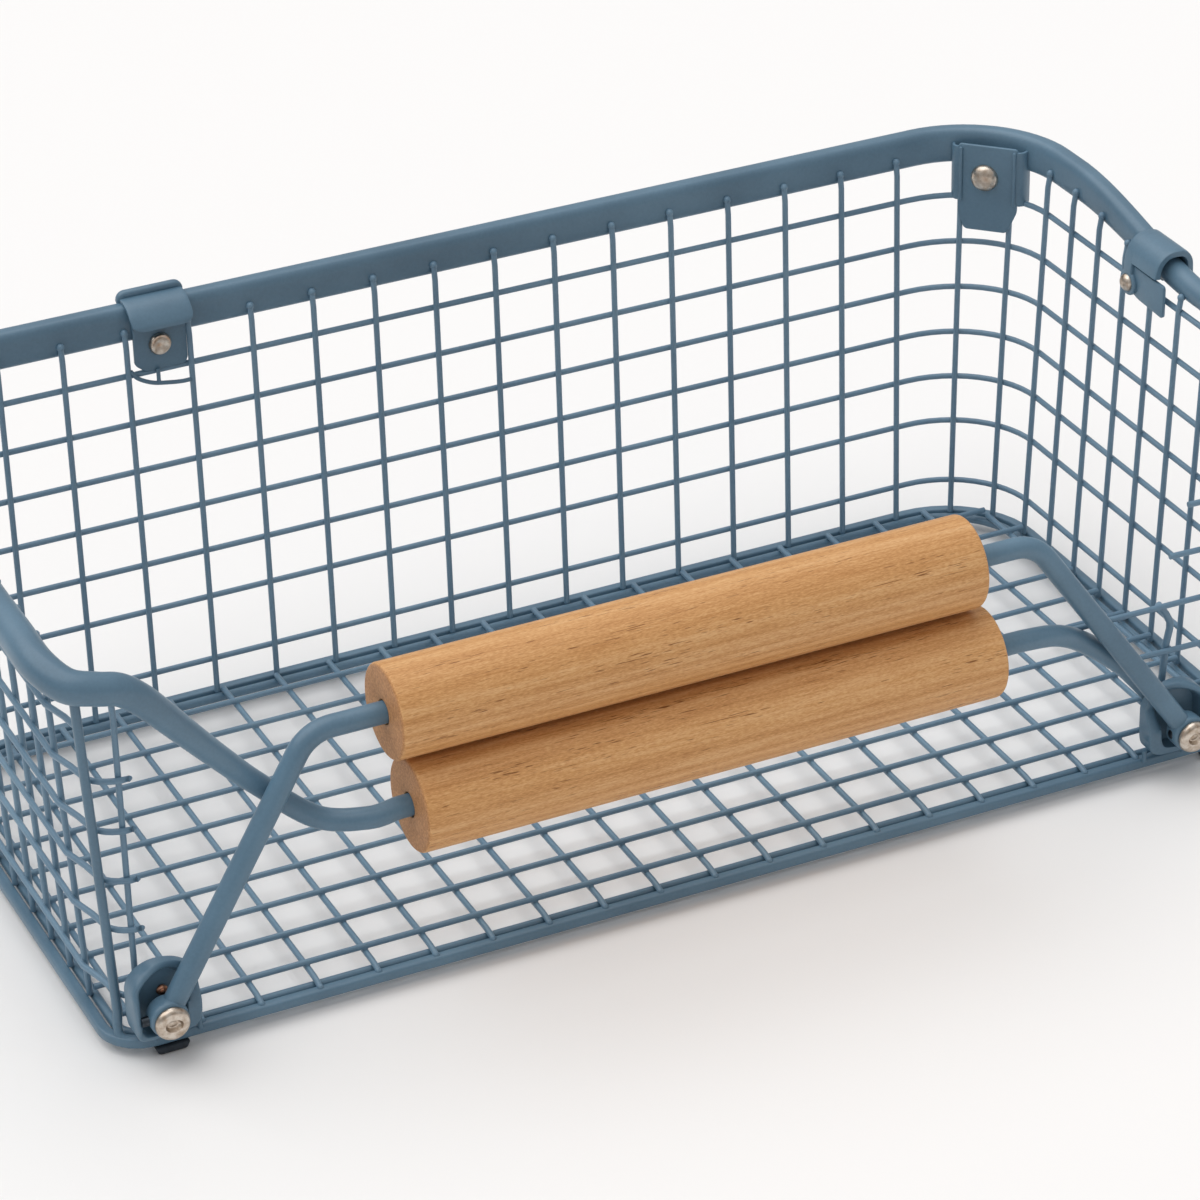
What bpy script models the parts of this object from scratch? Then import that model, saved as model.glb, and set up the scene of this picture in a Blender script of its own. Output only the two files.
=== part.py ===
"""Garden harvest basket: an open-fronted wire mesh basket with a rim tube, a front rail and a swinging bail.

Units are metres. X runs along the basket, Y from its open front to its back, Z up from the ground. The
origin is on the ground, under the middle of the basket's overall length and depth.
"""

from math import cos, hypot, pi, radians, sin, sqrt, tan

import bmesh
import bpy
import numpy as np
from mathutils import Matrix, Vector

# Basket body, measured between the centres of the wall wires at the base
BASKET_LENGTH = 0.392
BASKET_DEPTH = 0.176
END_FLARE = 0.006
BACK_FLARE = 0.002
BACK_CORNER_RADIUS = 0.030
FRONT_CORNER_RADIUS = 0.010

# Mesh wires
WIRE_DIAMETER = 0.0020
POST_DIAMETER = 0.0030
WALL_PITCH = 0.0215
END_PITCH = 0.0170
CROSS_WIRE_PITCH = 0.0190
LONG_WIRE_PITCH = 0.0171
FRONT_LONG_WIRE_INSET = 0.0085
BOTTOM_ROW_HEIGHT = 0.0180
SECOND_ROW_HEIGHT = 0.0415
TOP_ROW_DROP = 0.0173
ROW_COUNT = 6
CORNER_WIRE_COUNT = 2
FRONT_RETURN_ROWS = 5
FRONT_RETURN_LENGTH = 0.010
WIRE_OVERHANG = 0.0030

# Base ring of the basket
STRIP_WIDTH = 0.0036
STRIP_HEIGHT = 0.0034
STRIP_CLEARANCE_UNDER = 0.0030
STRIP_OFFSET = 0.0025
ROD_DIAMETER = 0.0030
ROD_INSET = 0.0018
ROD_CENTRE_HEIGHT = 0.0047

# Rim tube
RIM_HEIGHT_ABOVE_GROUND = 0.1448
RIM_DIP = 0.0103
RIM_TALL = 0.0124
RIM_THICK = 0.0075
RIM_SQUARENESS_SHARE = 0.75
RIM_END_DIAMETER = 0.0080
RIM_DIP_BACK = 0.045
RIM_DIP_FRONT = -0.035
RIM_BEND_RADIUS = 0.018

# Front rail, with how tall and how thick it is at each place along its route
SOCKET_Y = -0.004
SOCKET_DIAMETER = 0.0108
SOCKET_BORE = 0.0088
SOCKET_DEPTH = 0.012
RAIL_DIAMETER = 0.0070
# In from the socket, behind the basket's front, and down from the low end of the rim
RAIL_CORNER_ROUTE = (
    (0, 0.0480, 0, SOCKET_DIAMETER, SOCKET_DIAMETER),
    (0, 0.0260, 0.0002, SOCKET_DIAMETER, SOCKET_DIAMETER),
    (0.0069, 0.0040, 0.0015, SOCKET_DIAMETER, SOCKET_DIAMETER),
    (0.0184, -0.0045, 0.0095, 0.0104, 0.0104),
    (0.0314, -0.0035, 0.0258, 0.0096, 0.0096),
)
# The share of the way along to the grip, behind the bail, and the share of the way down
RAIL_LEFT_ROUTE = (
    (0.492, 0.0043, 0.623, 0.0080, 0.0080),
    (0.629, 0.0083, 0.838, RAIL_DIAMETER, RAIL_DIAMETER),
    (0.765, 0.0054, 1.010, RAIL_DIAMETER, RAIL_DIAMETER),
    (0.902, -0.0005, 1.019, RAIL_DIAMETER, RAIL_DIAMETER),
)
# The share of the way along from the grip to the tab, behind the bail, and the share of the way down
RAIL_RIGHT_ROUTE = (
    (0.173, -0.0017, 0.006, RAIL_DIAMETER, RAIL_DIAMETER),
    (0.331, 0.0003, 0.076, RAIL_DIAMETER, RAIL_DIAMETER),
    (0.489, 0.0052, 0.272, RAIL_DIAMETER, RAIL_DIAMETER),
    (0.683, 0.0095, 0.566, RAIL_DIAMETER, RAIL_DIAMETER),
)
# The same, with how far it lies behind the tab
RAIL_TAB_ROUTE = (
    (0.806, 0.0022, 0.776, 0.0070, 0.0058),
    (0.885, 0.0012, 0.894, 0.0074, 0.0036),
    (0.971, 0, 0.986, 0.0080, 0.0021),
)
TAB_DIAMETER = 0.0120
TAB_THICKNESS = 0.0025

# Handles
BAIL_CENTRE_X = -0.0095
RAIL_GRIP_X = -0.005
PIVOT_HALF_SPAN = 0.175
PIVOT_HEIGHT = 0.0175
PIVOT_STANDOFF = 0.0075
BAIL_REACH = 0.0782
BAIL_HALF_TOP = 0.122
BAIL_BEND_RADIUS = 0.014
BAIL_DIAMETER = 0.0070
BAIL_LEAN = radians(7.0)
ARM_START_SHARE = 0.03
GRIP_STACK_GAP = 0.0008
RAIL_GRIP_LEAN = radians(5.0)
GRIP_DIAMETER = 0.030
GRIP_LENGTH = 0.196
GRIP_EDGE = 0.0016
GRIP_BORE = 0.0078

# Corner plates and hinges
PLATE_WIDTH = 0.025
PLATE_BELOW_PIVOT = 0.0085
PLATE_ABOVE_PIVOT = 0.0205
PLATE_THICKNESS = 0.0015
PLATE_CORNER_RADIUS = 0.004
BEAD_INSET = 0.0008
BEAD_WIDTH = 0.0022
BEAD_HEIGHT = 0.0010
CHEEK_INNER = 0.0076
CHEEK_THICKNESS = 0.0020
CHEEK_RADIUS = 0.0036
PIN_DIAMETER = 0.0030
PIN_BORE = 0.0036
PIN_HEAD_DIAMETER = 0.0050
PIN_HEAD_HEIGHT = 0.0010
BOSS_DIAMETER = 0.0120
BOSS_THICKNESS = 0.0070
CAP_DIAMETER = 0.0110
CAP_RIM_HEIGHT = 0.0009
CAP_HEIGHT = 0.0024
CAP_DIMPLE_RADIUS = 0.0014
CAP_DIMPLE_DEPTH = 0.0005
CAP_STUB_DIAMETER = 0.0050
CAP_STUB_BORE = 0.0058
CAP_STUB_LENGTH = 0.0010
SCREW_RISE = 0.0068
SCREW_HEAD_DIAMETER = 0.0034
SCREW_HEAD_HEIGHT = 0.0012
SCREW_SHANK_DIAMETER = 0.0020
SCREW_BORE = 0.0027

# Rim clips
CLIP_WIDTH = 0.0230
CLIP_THICKNESS = 0.0012
CLIP_INNER_DROP = 0.0186
CORNER_CLIP_INNER_DROP = 0.0290
CLIP_CREST = 0.0030
CLIP_OUTER_DROP = 0.0128
CLIP_TAPER = 0.0040
CLIP_BEND_RADIUS = 0.0022
CLIP_BACK_X = -0.1065
CLIP_RIGHT_Y = -0.010
CLIP_LEFT_Y = 0.0155
CORNER_CLIP_CLEARANCE = 0.0010
RIVET_HEAD_DIAMETER = 0.0072
RIVET_HEAD_HEIGHT = 0.0022
RIVET_TAIL_DIAMETER = 0.0052
RIVET_TAIL_HEIGHT = 0.0008
RIVET_SHANK_DIAMETER = 0.0030
RIVET_BORE = 0.0037

# Feet
FOOT_LENGTH = 0.0112
FOOT_WIDTH = 0.0054
FOOT_INSET = 0.0045
FOOT_EDGE = 0.0006

# Clearances
GAP = 0.0003
CUT_OVERRUN = 0.002
WELD_DISTANCE = 0.000004

# How finely round things are divided
ROUND_SIDES = 12
TUBE_SIDES = 10
BOSS_SIDES = 16
GRIP_SIDES = 24
ARC_STEPS = 5

# Sizes that follow from those above
HALF_LENGTH = BASKET_LENGTH / 2
HALF_DEPTH = BASKET_DEPTH / 2
WIRE_RADIUS = WIRE_DIAMETER / 2
STRIP_TOP = STRIP_CLEARANCE_UNDER + STRIP_HEIGHT
WALL_FOOT = STRIP_TOP + GAP
FLOOR_HEIGHT = WALL_FOOT + WIRE_RADIUS
RIM_LOW_HEIGHT = RIM_HEIGHT_ABOVE_GROUND - RIM_DIP
WALL_TOP = RIM_HEIGHT_ABOVE_GROUND - RIM_THICK / 4
ROW_PITCH = (RIM_HEIGHT_ABOVE_GROUND - TOP_ROW_DROP - SECOND_ROW_HEIGHT) / (ROW_COUNT - 1)
ROWS = [BOTTOM_ROW_HEIGHT] + [SECOND_ROW_HEIGHT + ROW_PITCH * row for row in range(ROW_COUNT)]
BACK_ARC_X = HALF_LENGTH - BACK_CORNER_RADIUS
BACK_ARC_Y = HALF_DEPTH - BACK_CORNER_RADIUS
FRONT_ARC_X = HALF_LENGTH - FRONT_CORNER_RADIUS
FRONT_ARC_Y = -HALF_DEPTH + FRONT_CORNER_RADIUS
RIM_POST_Y = -HALF_DEPTH + WIRE_RADIUS + GAP + RIM_END_DIAMETER / 2
PLATE_BACK = -HALF_DEPTH - WIRE_RADIUS - GAP
PLATE_FACE = PLATE_BACK - PLATE_THICKNESS
PIVOT_Y = PLATE_FACE - PIVOT_STANDOFF
LEFT_PIVOT_X = BAIL_CENTRE_X - PIVOT_HALF_SPAN
RIGHT_PIVOT_X = BAIL_CENTRE_X + PIVOT_HALF_SPAN
BOSS_FACE = PIVOT_Y - BOSS_THICKNESS / 2
RAIL_GRIP_REACH = BAIL_REACH - GRIP_DIAMETER - GRIP_STACK_GAP
RAIL_GRIP_Y = PIVOT_Y + RAIL_GRIP_REACH * sin(RAIL_GRIP_LEAN)
RAIL_GRIP_Z = PIVOT_HEIGHT + RAIL_GRIP_REACH * cos(RAIL_GRIP_LEAN)
TAB_Y = PLATE_BACK + GAP + TAB_THICKNESS / 2
SCREW_HEIGHT = PIVOT_HEIGHT + SCREW_RISE
X_AXIS = Vector((1, 0, 0))
Y_AXIS = Vector((0, 1, 0))
Z_AXIS = Vector((0, 0, 1))


def make_collection(name):
    collection = bpy.data.collections.new(name)
    bpy.context.scene.collection.children.link(collection)
    return collection


def make_material(name, colour, roughness, metallic):
    material = bpy.data.materials.new(name)
    material.use_nodes = True
    shader = material.node_tree.nodes["Principled BSDF"]
    shader.inputs["Base Color"].default_value = (*colour, 1.0)
    shader.inputs["Roughness"].default_value = roughness
    shader.inputs["Metallic"].default_value = metallic
    material.diffuse_color = (*colour, 1.0)
    return material


for old in list(bpy.data.objects):
    bpy.data.objects.remove(old, do_unlink=True)
parts = make_collection("garden_harvest_basket")
cutters = make_collection("cutters")
powder_coat = make_material("blue_grey_powder_coat", (0.090, 0.175, 0.255), 0.42, 0.0)
beech = make_material("oiled_beech", (0.58, 0.29, 0.105), 0.5, 0.0)
nickel = make_material("nickel_rivet", (0.60, 0.52, 0.44), 0.28, 1.0)
copper = make_material("coppered_pin", (0.62, 0.36, 0.24), 0.32, 1.0)
rubber = make_material("black_rubber", (0.025, 0.028, 0.03), 0.75, 0.0)


def add_object(name, mesh, material, place=(0, 0, 0), axis=Z_AXIS, parent=None, smooth=True):
    """Links a mesh as one named part, with its own Z axis along the given direction."""
    obj = bpy.data.objects.new(name, mesh)
    parts.objects.link(obj)
    mesh.materials.clear()
    mesh.materials.append(material)
    if smooth:
        mesh.shade_smooth()
        mesh.set_sharp_from_angle(angle=radians(35))
    obj.parent = parent
    obj.location = place
    obj.rotation_euler = Z_AXIS.rotation_difference(axis).to_euler()
    return obj


def finished(shape, name):
    """Turns a bmesh into a welded mesh whose faces point outwards."""
    bmesh.ops.remove_doubles(shape, verts=shape.verts[:], dist=WELD_DISTANCE)
    bmesh.ops.recalc_face_normals(shape, faces=shape.faces[:])
    mesh = bpy.data.meshes.new(name)
    shape.to_mesh(mesh)
    shape.free()
    return mesh


def evaluated(obj, name="piece"):
    """The welded mesh of a curve or of an object with modifiers; the object itself is removed."""
    bpy.context.view_layer.update()
    graph = bpy.context.evaluated_depsgraph_get()
    mesh = bpy.data.meshes.new_from_object(obj.evaluated_get(graph))
    mesh.transform(obj.matrix_world)
    bpy.data.objects.remove(obj)
    shape = bmesh.new()
    shape.from_mesh(mesh)
    return finished(shape, name)


def holder(data):
    obj = bpy.data.objects.new("holder", data)
    cutters.objects.link(obj)
    return obj


def combined(mesh, operation, tools):
    """One mesh joined with, or cut by, each of the others in turn."""
    for tool_mesh in tools:
        body = holder(mesh)
        tool = holder(tool_mesh)
        modifier = body.modifiers.new("Boolean", "BOOLEAN")
        modifier.operation = operation
        modifier.object = tool
        modifier.solver = "EXACT"
        mesh = evaluated(body)
        bpy.data.objects.remove(tool)
    return mesh


def moved(mesh, place, axis=Z_AXIS):
    """Turns a mesh so that its Z axis follows axis, and moves it to place."""
    turn = Z_AXIS.rotation_difference(Vector(axis)).to_matrix().to_4x4()
    mesh.transform(Matrix.Translation(Vector(place)) @ turn)
    return mesh


def cylinder(diameter, start, end, sides=ROUND_SIDES):
    start, end = Vector(start), Vector(end)
    shape = bmesh.new()
    bmesh.ops.create_cone(
        shape,
        cap_ends=True,
        segments=sides,
        radius1=diameter / 2,
        radius2=diameter / 2,
        depth=(end - start).length,
    )
    return moved(finished(shape, "cylinder"), (start + end) / 2, end - start)


def turned(profile, sides=TUBE_SIDES, closed=False):
    """A profile of (radius, height) points, running down its outer side, turned round Z by a Screw."""
    mesh = bpy.data.meshes.new("profile")
    count = len(profile)
    edges = [(index, index + 1) for index in range(count - 1)]
    if closed:
        edges.append((count - 1, 0))
    mesh.from_pydata([(radius, 0, height) for radius, height in profile], edges, [])
    obj = holder(mesh)
    screw = obj.modifiers.new("Screw", "SCREW")
    screw.steps = sides
    screw.render_steps = sides
    screw.use_merge_vertices = True
    screw.merge_threshold = WELD_DISTANCE
    return evaluated(obj, "turned")


def flat_outline(outlines, thickness):
    """A flat shape from one or more closed outlines in the XY plane, given thickness along Z."""
    curve = bpy.data.curves.new("outline", "CURVE")
    curve.dimensions = "2D"
    curve.fill_mode = "BOTH"
    curve.extrude = thickness / 2
    for outline in outlines:
        spline = curve.splines.new("POLY")
        spline.points.add(len(outline) - 1)
        spline.use_cyclic_u = True
        for point, (x, y) in zip(spline.points, outline):
            point.co = (x, y, 0, 1)
    return evaluated(holder(curve), "outline")


def upright(mesh, x, y):
    """Stands a flat shape up: its own X stays along X, its Y becomes height, and it is centred at depth y."""
    mesh.transform(Matrix.Translation((x, y, 0)) @ Matrix.Rotation(pi / 2, 4, "X"))
    return mesh


def rod(points, diameter, cyclic=False):
    """A round rod along a path, from a bevelled curve with filled caps."""
    curve = bpy.data.curves.new("rod", "CURVE")
    curve.dimensions = "3D"
    curve.bevel_depth = diameter / 2
    curve.bevel_resolution = 2
    curve.use_fill_caps = True
    spline = curve.splines.new("POLY")
    spline.points.add(len(points) - 1)
    spline.use_cyclic_u = cyclic
    for point, place in zip(spline.points, points):
        point.co = (*place, 1)
    return evaluated(holder(curve), "rod")


def rounded_path(corners, radius):
    """Straight runs between the corners, each corner filleted with an arc."""
    corners = [Vector(corner) for corner in corners]
    points = [corners[0]]
    for before, corner, after in zip(corners, corners[1:], corners[2:]):
        back, ahead = (before - corner).normalized(), (after - corner).normalized()
        half = back.angle(ahead) / 2
        reach = radius * cos(half) / sin(half)
        centre = corner + (back + ahead).normalized() * (radius / sin(half))
        first, last = corner + back * reach - centre, corner + ahead * reach - centre
        for step in range(ARC_STEPS + 1):
            points.append(centre + first.slerp(last, step / ARC_STEPS).normalized() * radius)
    points.append(corners[-1])
    return points


def smooth_rows(rows, per_span=2):
    """Rows of numbers read from a smooth curve through the given rows."""
    rows = np.array(rows)
    padded = np.vstack([2 * rows[0] - rows[1], rows, 2 * rows[-1] - rows[-2]])
    found = []
    for a, b, c, d in zip(padded, padded[1:], padded[2:], padded[3:]):
        for step in range(per_span):
            t = step / per_span
            bend = (2 * a - 5 * b + 4 * c - d) * t**2 + (3 * b - a - 3 * c + d) * t**3
            found.append((2 * b + (c - a) * t + bend) / 2)
    return found + [rows[-1]]


def lofted(rows, sides=TUBE_SIDES, squareness=None):
    """A tube whose section changes: each row is x, y, height, how tall and how thick the tube is there."""
    shape = bmesh.new()
    rings = []
    centres = [Vector(row[:3]) for row in rows]
    powers = squareness or [1.0] * len(rows)
    for index, (centre, row, power) in enumerate(zip(centres, rows, powers)):
        along = (centres[min(index + 1, len(rows) - 1)] - centres[max(index - 1, 0)]).normalized()
        level = Vector((along.x, along.y, 0))
        side = X_AXIS if level.length < abs(along.z) / 5 else level.cross(Z_AXIS)
        side = (side - along * side.dot(along)).normalized()
        up = side.cross(along).normalized()
        ring = []
        for step in range(sides):
            angle = 2 * pi * (step + 0.5) / sides
            across = abs(cos(angle)) ** power * (1 if cos(angle) > 0 else -1)
            rise = abs(sin(angle)) ** power * (1 if sin(angle) > 0 else -1)
            offset = side * across * float(row[4]) / 2 + up * rise * float(row[3]) / 2
            ring.append(shape.verts.new(centre + offset))
        rings.append(ring)
    for first, second in zip(rings, rings[1:]):
        for step in range(sides):
            shape.faces.new((first[step - 1], first[step], second[step], second[step - 1]))
    shape.faces.new(rings[0])
    shape.faces.new(rings[-1])
    return finished(shape, "loft")


def stretches(start, wires, end, cuts=()):
    """Splits start to end into (from, to, is_wire) stretches; cuts are further places to divide a gap."""
    found, here = [], start
    for centre in [*wires, None]:
        low = end if centre is None else centre - WIRE_RADIUS
        marks = [here, *[cut for cut in cuts if here + WIRE_RADIUS / 4 < cut < low - WIRE_RADIUS / 4], low]
        found += [(a, b, False) for a, b in zip(marks, marks[1:]) if b - a > WELD_DISTANCE * 2]
        if centre is not None:
            here = centre + WIRE_RADIUS
            found.append((low, here, True))
    return found


def wire_panel(name, across, up, place, holds=None):
    """A welded wire panel: a grid with a face wherever a wire runs, put in place and given its thickness."""
    shape = bmesh.new()
    columns, rows = len(across), len(up)
    bmesh.ops.create_grid(shape, x_segments=columns, y_segments=rows, size=0.5)
    us = [across[0][0]] + [stretch[1] for stretch in across]
    vs = [up[0][0]] + [stretch[1] for stretch in up]
    empty = []
    for face in shape.faces:
        middle = face.calc_center_median()
        u0, u1, is_upright = across[int((middle.x + 0.5) * columns)]
        v0, v1, is_level = up[int((middle.y + 0.5) * rows)]
        kept = is_upright or is_level
        if kept and holds:
            kept = holds(u0, u1, v0, v1)
        if not kept:
            empty.append(face)
    for vert in shape.verts:
        vert.co = place(us[round((vert.co.x + 0.5) * columns)], vs[round((vert.co.y + 0.5) * rows)])
    bmesh.ops.delete(shape, geom=empty, context="FACES")
    mesh = bpy.data.meshes.new(name)
    bmesh.ops.recalc_face_normals(shape, faces=shape.faces[:])
    shape.to_mesh(mesh)
    shape.free()
    obj = add_object(name, mesh, powder_coat, smooth=False)
    solid = obj.modifiers.new("Solidify", "SOLIDIFY")
    solid.thickness = WIRE_DIAMETER
    solid.offset = 0
    return obj


def flare_share(height):
    return (height - WALL_FOOT) / (RIM_HEIGHT_ABOVE_GROUND - WALL_FOOT)


def dip_share(y):
    """0 where the rim of an end is still level and flattened, 1 where it is low and round."""
    return min(1.0, max(0.0, (RIM_DIP_BACK - y) / (RIM_DIP_BACK - RIM_DIP_FRONT)))


def rim_height(y):
    """Height of the rim's centre along an end: it dips towards the front."""
    share = dip_share(y)
    return RIM_HEIGHT_ABOVE_GROUND - RIM_DIP * share * share * (3 - 2 * share)


def end_rim_x(height, thick):
    """How far out a rim or rail of this thickness lies, just clear of the end's mesh."""
    return HALF_LENGTH + END_FLARE * flare_share(height) + WIRE_RADIUS + GAP + thick / 2


def end_rim_row(side, y):
    """The rim along an end: x, y, height, how tall and how thick. The left one moves out to the socket."""
    reach, room = (RIM_DIP_FRONT, RIM_END_DIAMETER) if side > 0 else (SOCKET_Y, SOCKET_DIAMETER)
    share = (RIM_DIP_BACK - y) / (RIM_DIP_BACK - reach)
    tall = RIM_TALL + (RIM_END_DIAMETER - RIM_TALL) * share
    thick = RIM_THICK + (RIM_END_DIAMETER - RIM_THICK) * share
    room = RIM_THICK + (room - RIM_THICK) * share
    return (side * end_rim_x(rim_height(y), room), y, rim_height(y), tall, thick)


def ring_outline(offset):
    """The base outline, offset outwards from the wall wires."""
    points = []
    corners = (
        (BACK_ARC_X, BACK_ARC_Y, BACK_CORNER_RADIUS),
        (-BACK_ARC_X, BACK_ARC_Y, BACK_CORNER_RADIUS),
        (-FRONT_ARC_X, FRONT_ARC_Y, FRONT_CORNER_RADIUS),
        (FRONT_ARC_X, FRONT_ARC_Y, FRONT_CORNER_RADIUS),
    )
    for quarter, (x, y, radius) in enumerate(corners):
        for step in range(ARC_STEPS + 1):
            angle = pi / 2 * (quarter + step / ARC_STEPS)
            points.append((x + (radius + offset) * cos(angle), y + (radius + offset) * sin(angle)))
    return points


def make_base():
    """The outer strip on which the mesh stands, and the round rod inside it."""
    half = STRIP_WIDTH / 2
    strip = flat_outline([ring_outline(STRIP_OFFSET + half), ring_outline(STRIP_OFFSET - half)], STRIP_HEIGHT)
    height = STRIP_CLEARANCE_UNDER + STRIP_HEIGHT / 2
    add_object("base_strip", strip, powder_coat, (0, 0, height))
    path = [(x, y, 0) for x, y in ring_outline(-ROD_INSET)]
    add_object("base_rod", rod(path, ROD_DIAMETER, cyclic=True), powder_coat, (0, 0, ROD_CENTRE_HEIGHT))


def make_feet():
    """Four rubber pads under the strip."""
    front, back = FRONT_ARC_X - FOOT_INSET, BACK_ARC_X - FOOT_INSET
    places = (
        ("front_left_foot", -front, -1),
        ("front_right_foot", front, -1),
        ("back_left_foot", -back, 1),
        ("back_right_foot", back, 1),
    )
    height = STRIP_CLEARANCE_UNDER - GAP
    for name, x, side in places:
        shape = bmesh.new()
        bmesh.ops.create_cube(shape, size=1)
        bmesh.ops.scale(shape, vec=(FOOT_LENGTH, FOOT_WIDTH, height), verts=shape.verts[:])
        place = (x, side * (HALF_DEPTH + STRIP_OFFSET), height / 2)
        foot = add_object(name, finished(shape, name), rubber, place, smooth=False)
        bevel = foot.modifiers.new("Bevel", "BEVEL")
        bevel.width = FOOT_EDGE
        bevel.segments = 1


def make_floor():
    """Cross wires from the front strip to the back, and long wires between the ends."""
    half_count = int((HALF_LENGTH - WIRE_DIAMETER) / CROSS_WIRE_PITCH)
    cross = [CROSS_WIRE_PITCH * index for index in range(-half_count, half_count + 1)]
    first = -HALF_DEPTH + FRONT_LONG_WIRE_INSET
    back = HALF_DEPTH - WIRE_DIAMETER - GAP
    count = int((back - WIRE_RADIUS - first) / LONG_WIRE_PITCH) + 1
    long_wires = [first + LONG_WIRE_PITCH * index for index in range(count)]
    end = HALF_LENGTH - WIRE_DIAMETER - GAP
    clear = BACK_CORNER_RADIUS - WIRE_RADIUS * 3 / 2
    stop_x = BACK_ARC_X + BACK_CORNER_RADIUS * 3 / 4
    stop_y = BACK_ARC_Y + BACK_CORNER_RADIUS * 3 / 8

    def holds(x0, x1, y0, y1):
        beyond_x, beyond_y = max(abs(x0), abs(x1)) - BACK_ARC_X, y1 - BACK_ARC_Y
        return min(beyond_x, beyond_y) < 0 or hypot(beyond_x, beyond_y) < clear

    wire_panel(
        "floor_mesh",
        stretches(-end, cross, end, cuts=(-stop_x, stop_x)),
        stretches(-HALF_DEPTH - WIRE_DIAMETER, long_wires, back, cuts=(stop_y,)),
        lambda x, y: (x, y, FLOOR_HEIGHT),
        holds,
    )


def back_wires():
    count = round(BACK_ARC_X / WALL_PITCH)
    return [WALL_PITCH * (index + 0.5) for index in range(-count, count)]


def end_wires():
    count = round((BACK_ARC_Y - FRONT_ARC_Y) / END_PITCH)
    return [FRONT_ARC_Y + END_PITCH * (index + 1) for index in range(count)]


def make_walls():
    """The back and the two ends: flat welded panels that lean out a little towards the rim."""
    wires = back_wires()
    edge = wires[-1] + WIRE_RADIUS
    levels = stretches(WALL_FOOT, ROWS, WALL_TOP)
    wire_panel(
        "back_mesh",
        stretches(-edge, wires, edge),
        levels,
        lambda x, z: (x, HALF_DEPTH + BACK_FLARE * flare_share(z), z),
    )
    wires = end_wires()
    top_row = ROWS[-1] + WIRE_RADIUS
    left_front = FRONT_ARC_Y + POST_DIAMETER / 2 + GAP
    right_front = RIM_POST_Y + RIM_END_DIAMETER / 2 + GAP
    for name, side, start in (("left_mesh", -1, left_front), ("right_mesh", 1, right_front)):

        def place(y, z, side=side):
            """Above the top row the wires end inside the rim, which dips towards the front."""
            if z > top_row:
                share = (z - top_row) / (WALL_TOP - top_row)
                z = top_row + share * (rim_height(y) - RIM_THICK / 4 - top_row)
            return (side * (HALF_LENGTH + END_FLARE * flare_share(z)), y, z)

        def holds(y0, y1, z0, z1, side=side):
            """The wire behind the right clip's rivet stops at the top row."""
            return side < 0 or z0 < top_row - WELD_DISTANCE or not y0 < CLIP_RIGHT_Y < y1

        wire_panel(name, stretches(start, wires, wires[-1] + WIRE_RADIUS), levels, place, holds)


def make_back_corners():
    """The rounded back corners: level wires bent round, with uprights between."""
    arc = BACK_CORNER_RADIUS * pi / 2
    start = WIRE_RADIUS + GAP
    finish = arc + BACK_ARC_X - back_wires()[-1] - WIRE_RADIUS - GAP
    pitch = arc / (CORNER_WIRE_COUNT + 1)
    uprights = [pitch * (index + 1) for index in range(CORNER_WIRE_COUNT)]
    cuts = [pitch * (index + share) for index in range(CORNER_WIRE_COUNT + 1) for share in (1 / 3, 2 / 3)]
    for name, side in (("back_left_corner_mesh", -1), ("back_right_corner_mesh", 1)):

        def place(along, z, side=side):
            angle = min(along, arc) / BACK_CORNER_RADIUS
            share = flare_share(z)
            x = BACK_ARC_X + (BACK_CORNER_RADIUS + END_FLARE * share) * cos(angle) - max(0, along - arc)
            y = BACK_ARC_Y + (BACK_CORNER_RADIUS + BACK_FLARE * share) * sin(angle)
            return (side * x, y, z)

        across = stretches(start, uprights, finish, [*cuts, arc])
        wire_panel(name, across, stretches(WALL_FOOT, ROWS, WALL_TOP), place)


def make_front_returns():
    """Level wires that turn round the front corners and end on a short upright."""
    arc = FRONT_CORNER_RADIUS * pi / 2
    rows = ROWS[:FRONT_RETURN_ROWS]
    levels = stretches(WALL_FOOT, rows, rows[-1] + WIRE_RADIUS)
    end_wire = arc + FRONT_RETURN_LENGTH
    cuts = [arc * step / ARC_STEPS for step in range(1, ARC_STEPS + 1)]

    def left_place(along, z):
        angle = min(along, arc) / FRONT_CORNER_RADIUS
        reach = FRONT_CORNER_RADIUS + END_FLARE * flare_share(z)
        x = FRONT_ARC_X + reach * cos(angle) - max(0, along - arc)
        return (-x, FRONT_ARC_Y - FRONT_CORNER_RADIUS * sin(angle), z)

    start = POST_DIAMETER / 2 + GAP
    across = stretches(start, [end_wire], end_wire + WIRE_OVERHANG, cuts)
    wire_panel("front_left_mesh", across, levels, left_place)

    def right_place(x, z):
        return (x + END_FLARE * flare_share(z), -HALF_DEPTH, z)

    clear_of_tab = RIGHT_PIVOT_X + TAB_DIAMETER / 2 + GAP * 2
    outer = HALF_LENGTH + WIRE_OVERHANG
    wire_panel("front_right_mesh", stretches(clear_of_tab, [FRONT_ARC_X], outer), levels, right_place)


def make_front_post():
    """The thicker corner wire that carries the rail at the front-left corner."""
    top = RIM_LOW_HEIGHT - SOCKET_DIAMETER / 2 - GAP * 3
    foot = (-HALF_LENGTH, FRONT_ARC_Y, WALL_FOOT)
    head = (-HALF_LENGTH - END_FLARE * flare_share(top), FRONT_ARC_Y, top)
    add_object("front_left_post", rod([foot, head], POST_DIAMETER), powder_coat)


def socket_line():
    """Where the rail's socket opens, and the direction in which it runs forwards and down."""
    mouth = Vector((-end_rim_x(rim_height(SOCKET_Y), SOCKET_DIAMETER), SOCKET_Y, rim_height(SOCKET_Y)))
    ahead = SOCKET_Y - SOCKET_DEPTH * 3 / 2
    return mouth, Vector((mouth.x, ahead, rim_height(ahead)))


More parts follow.
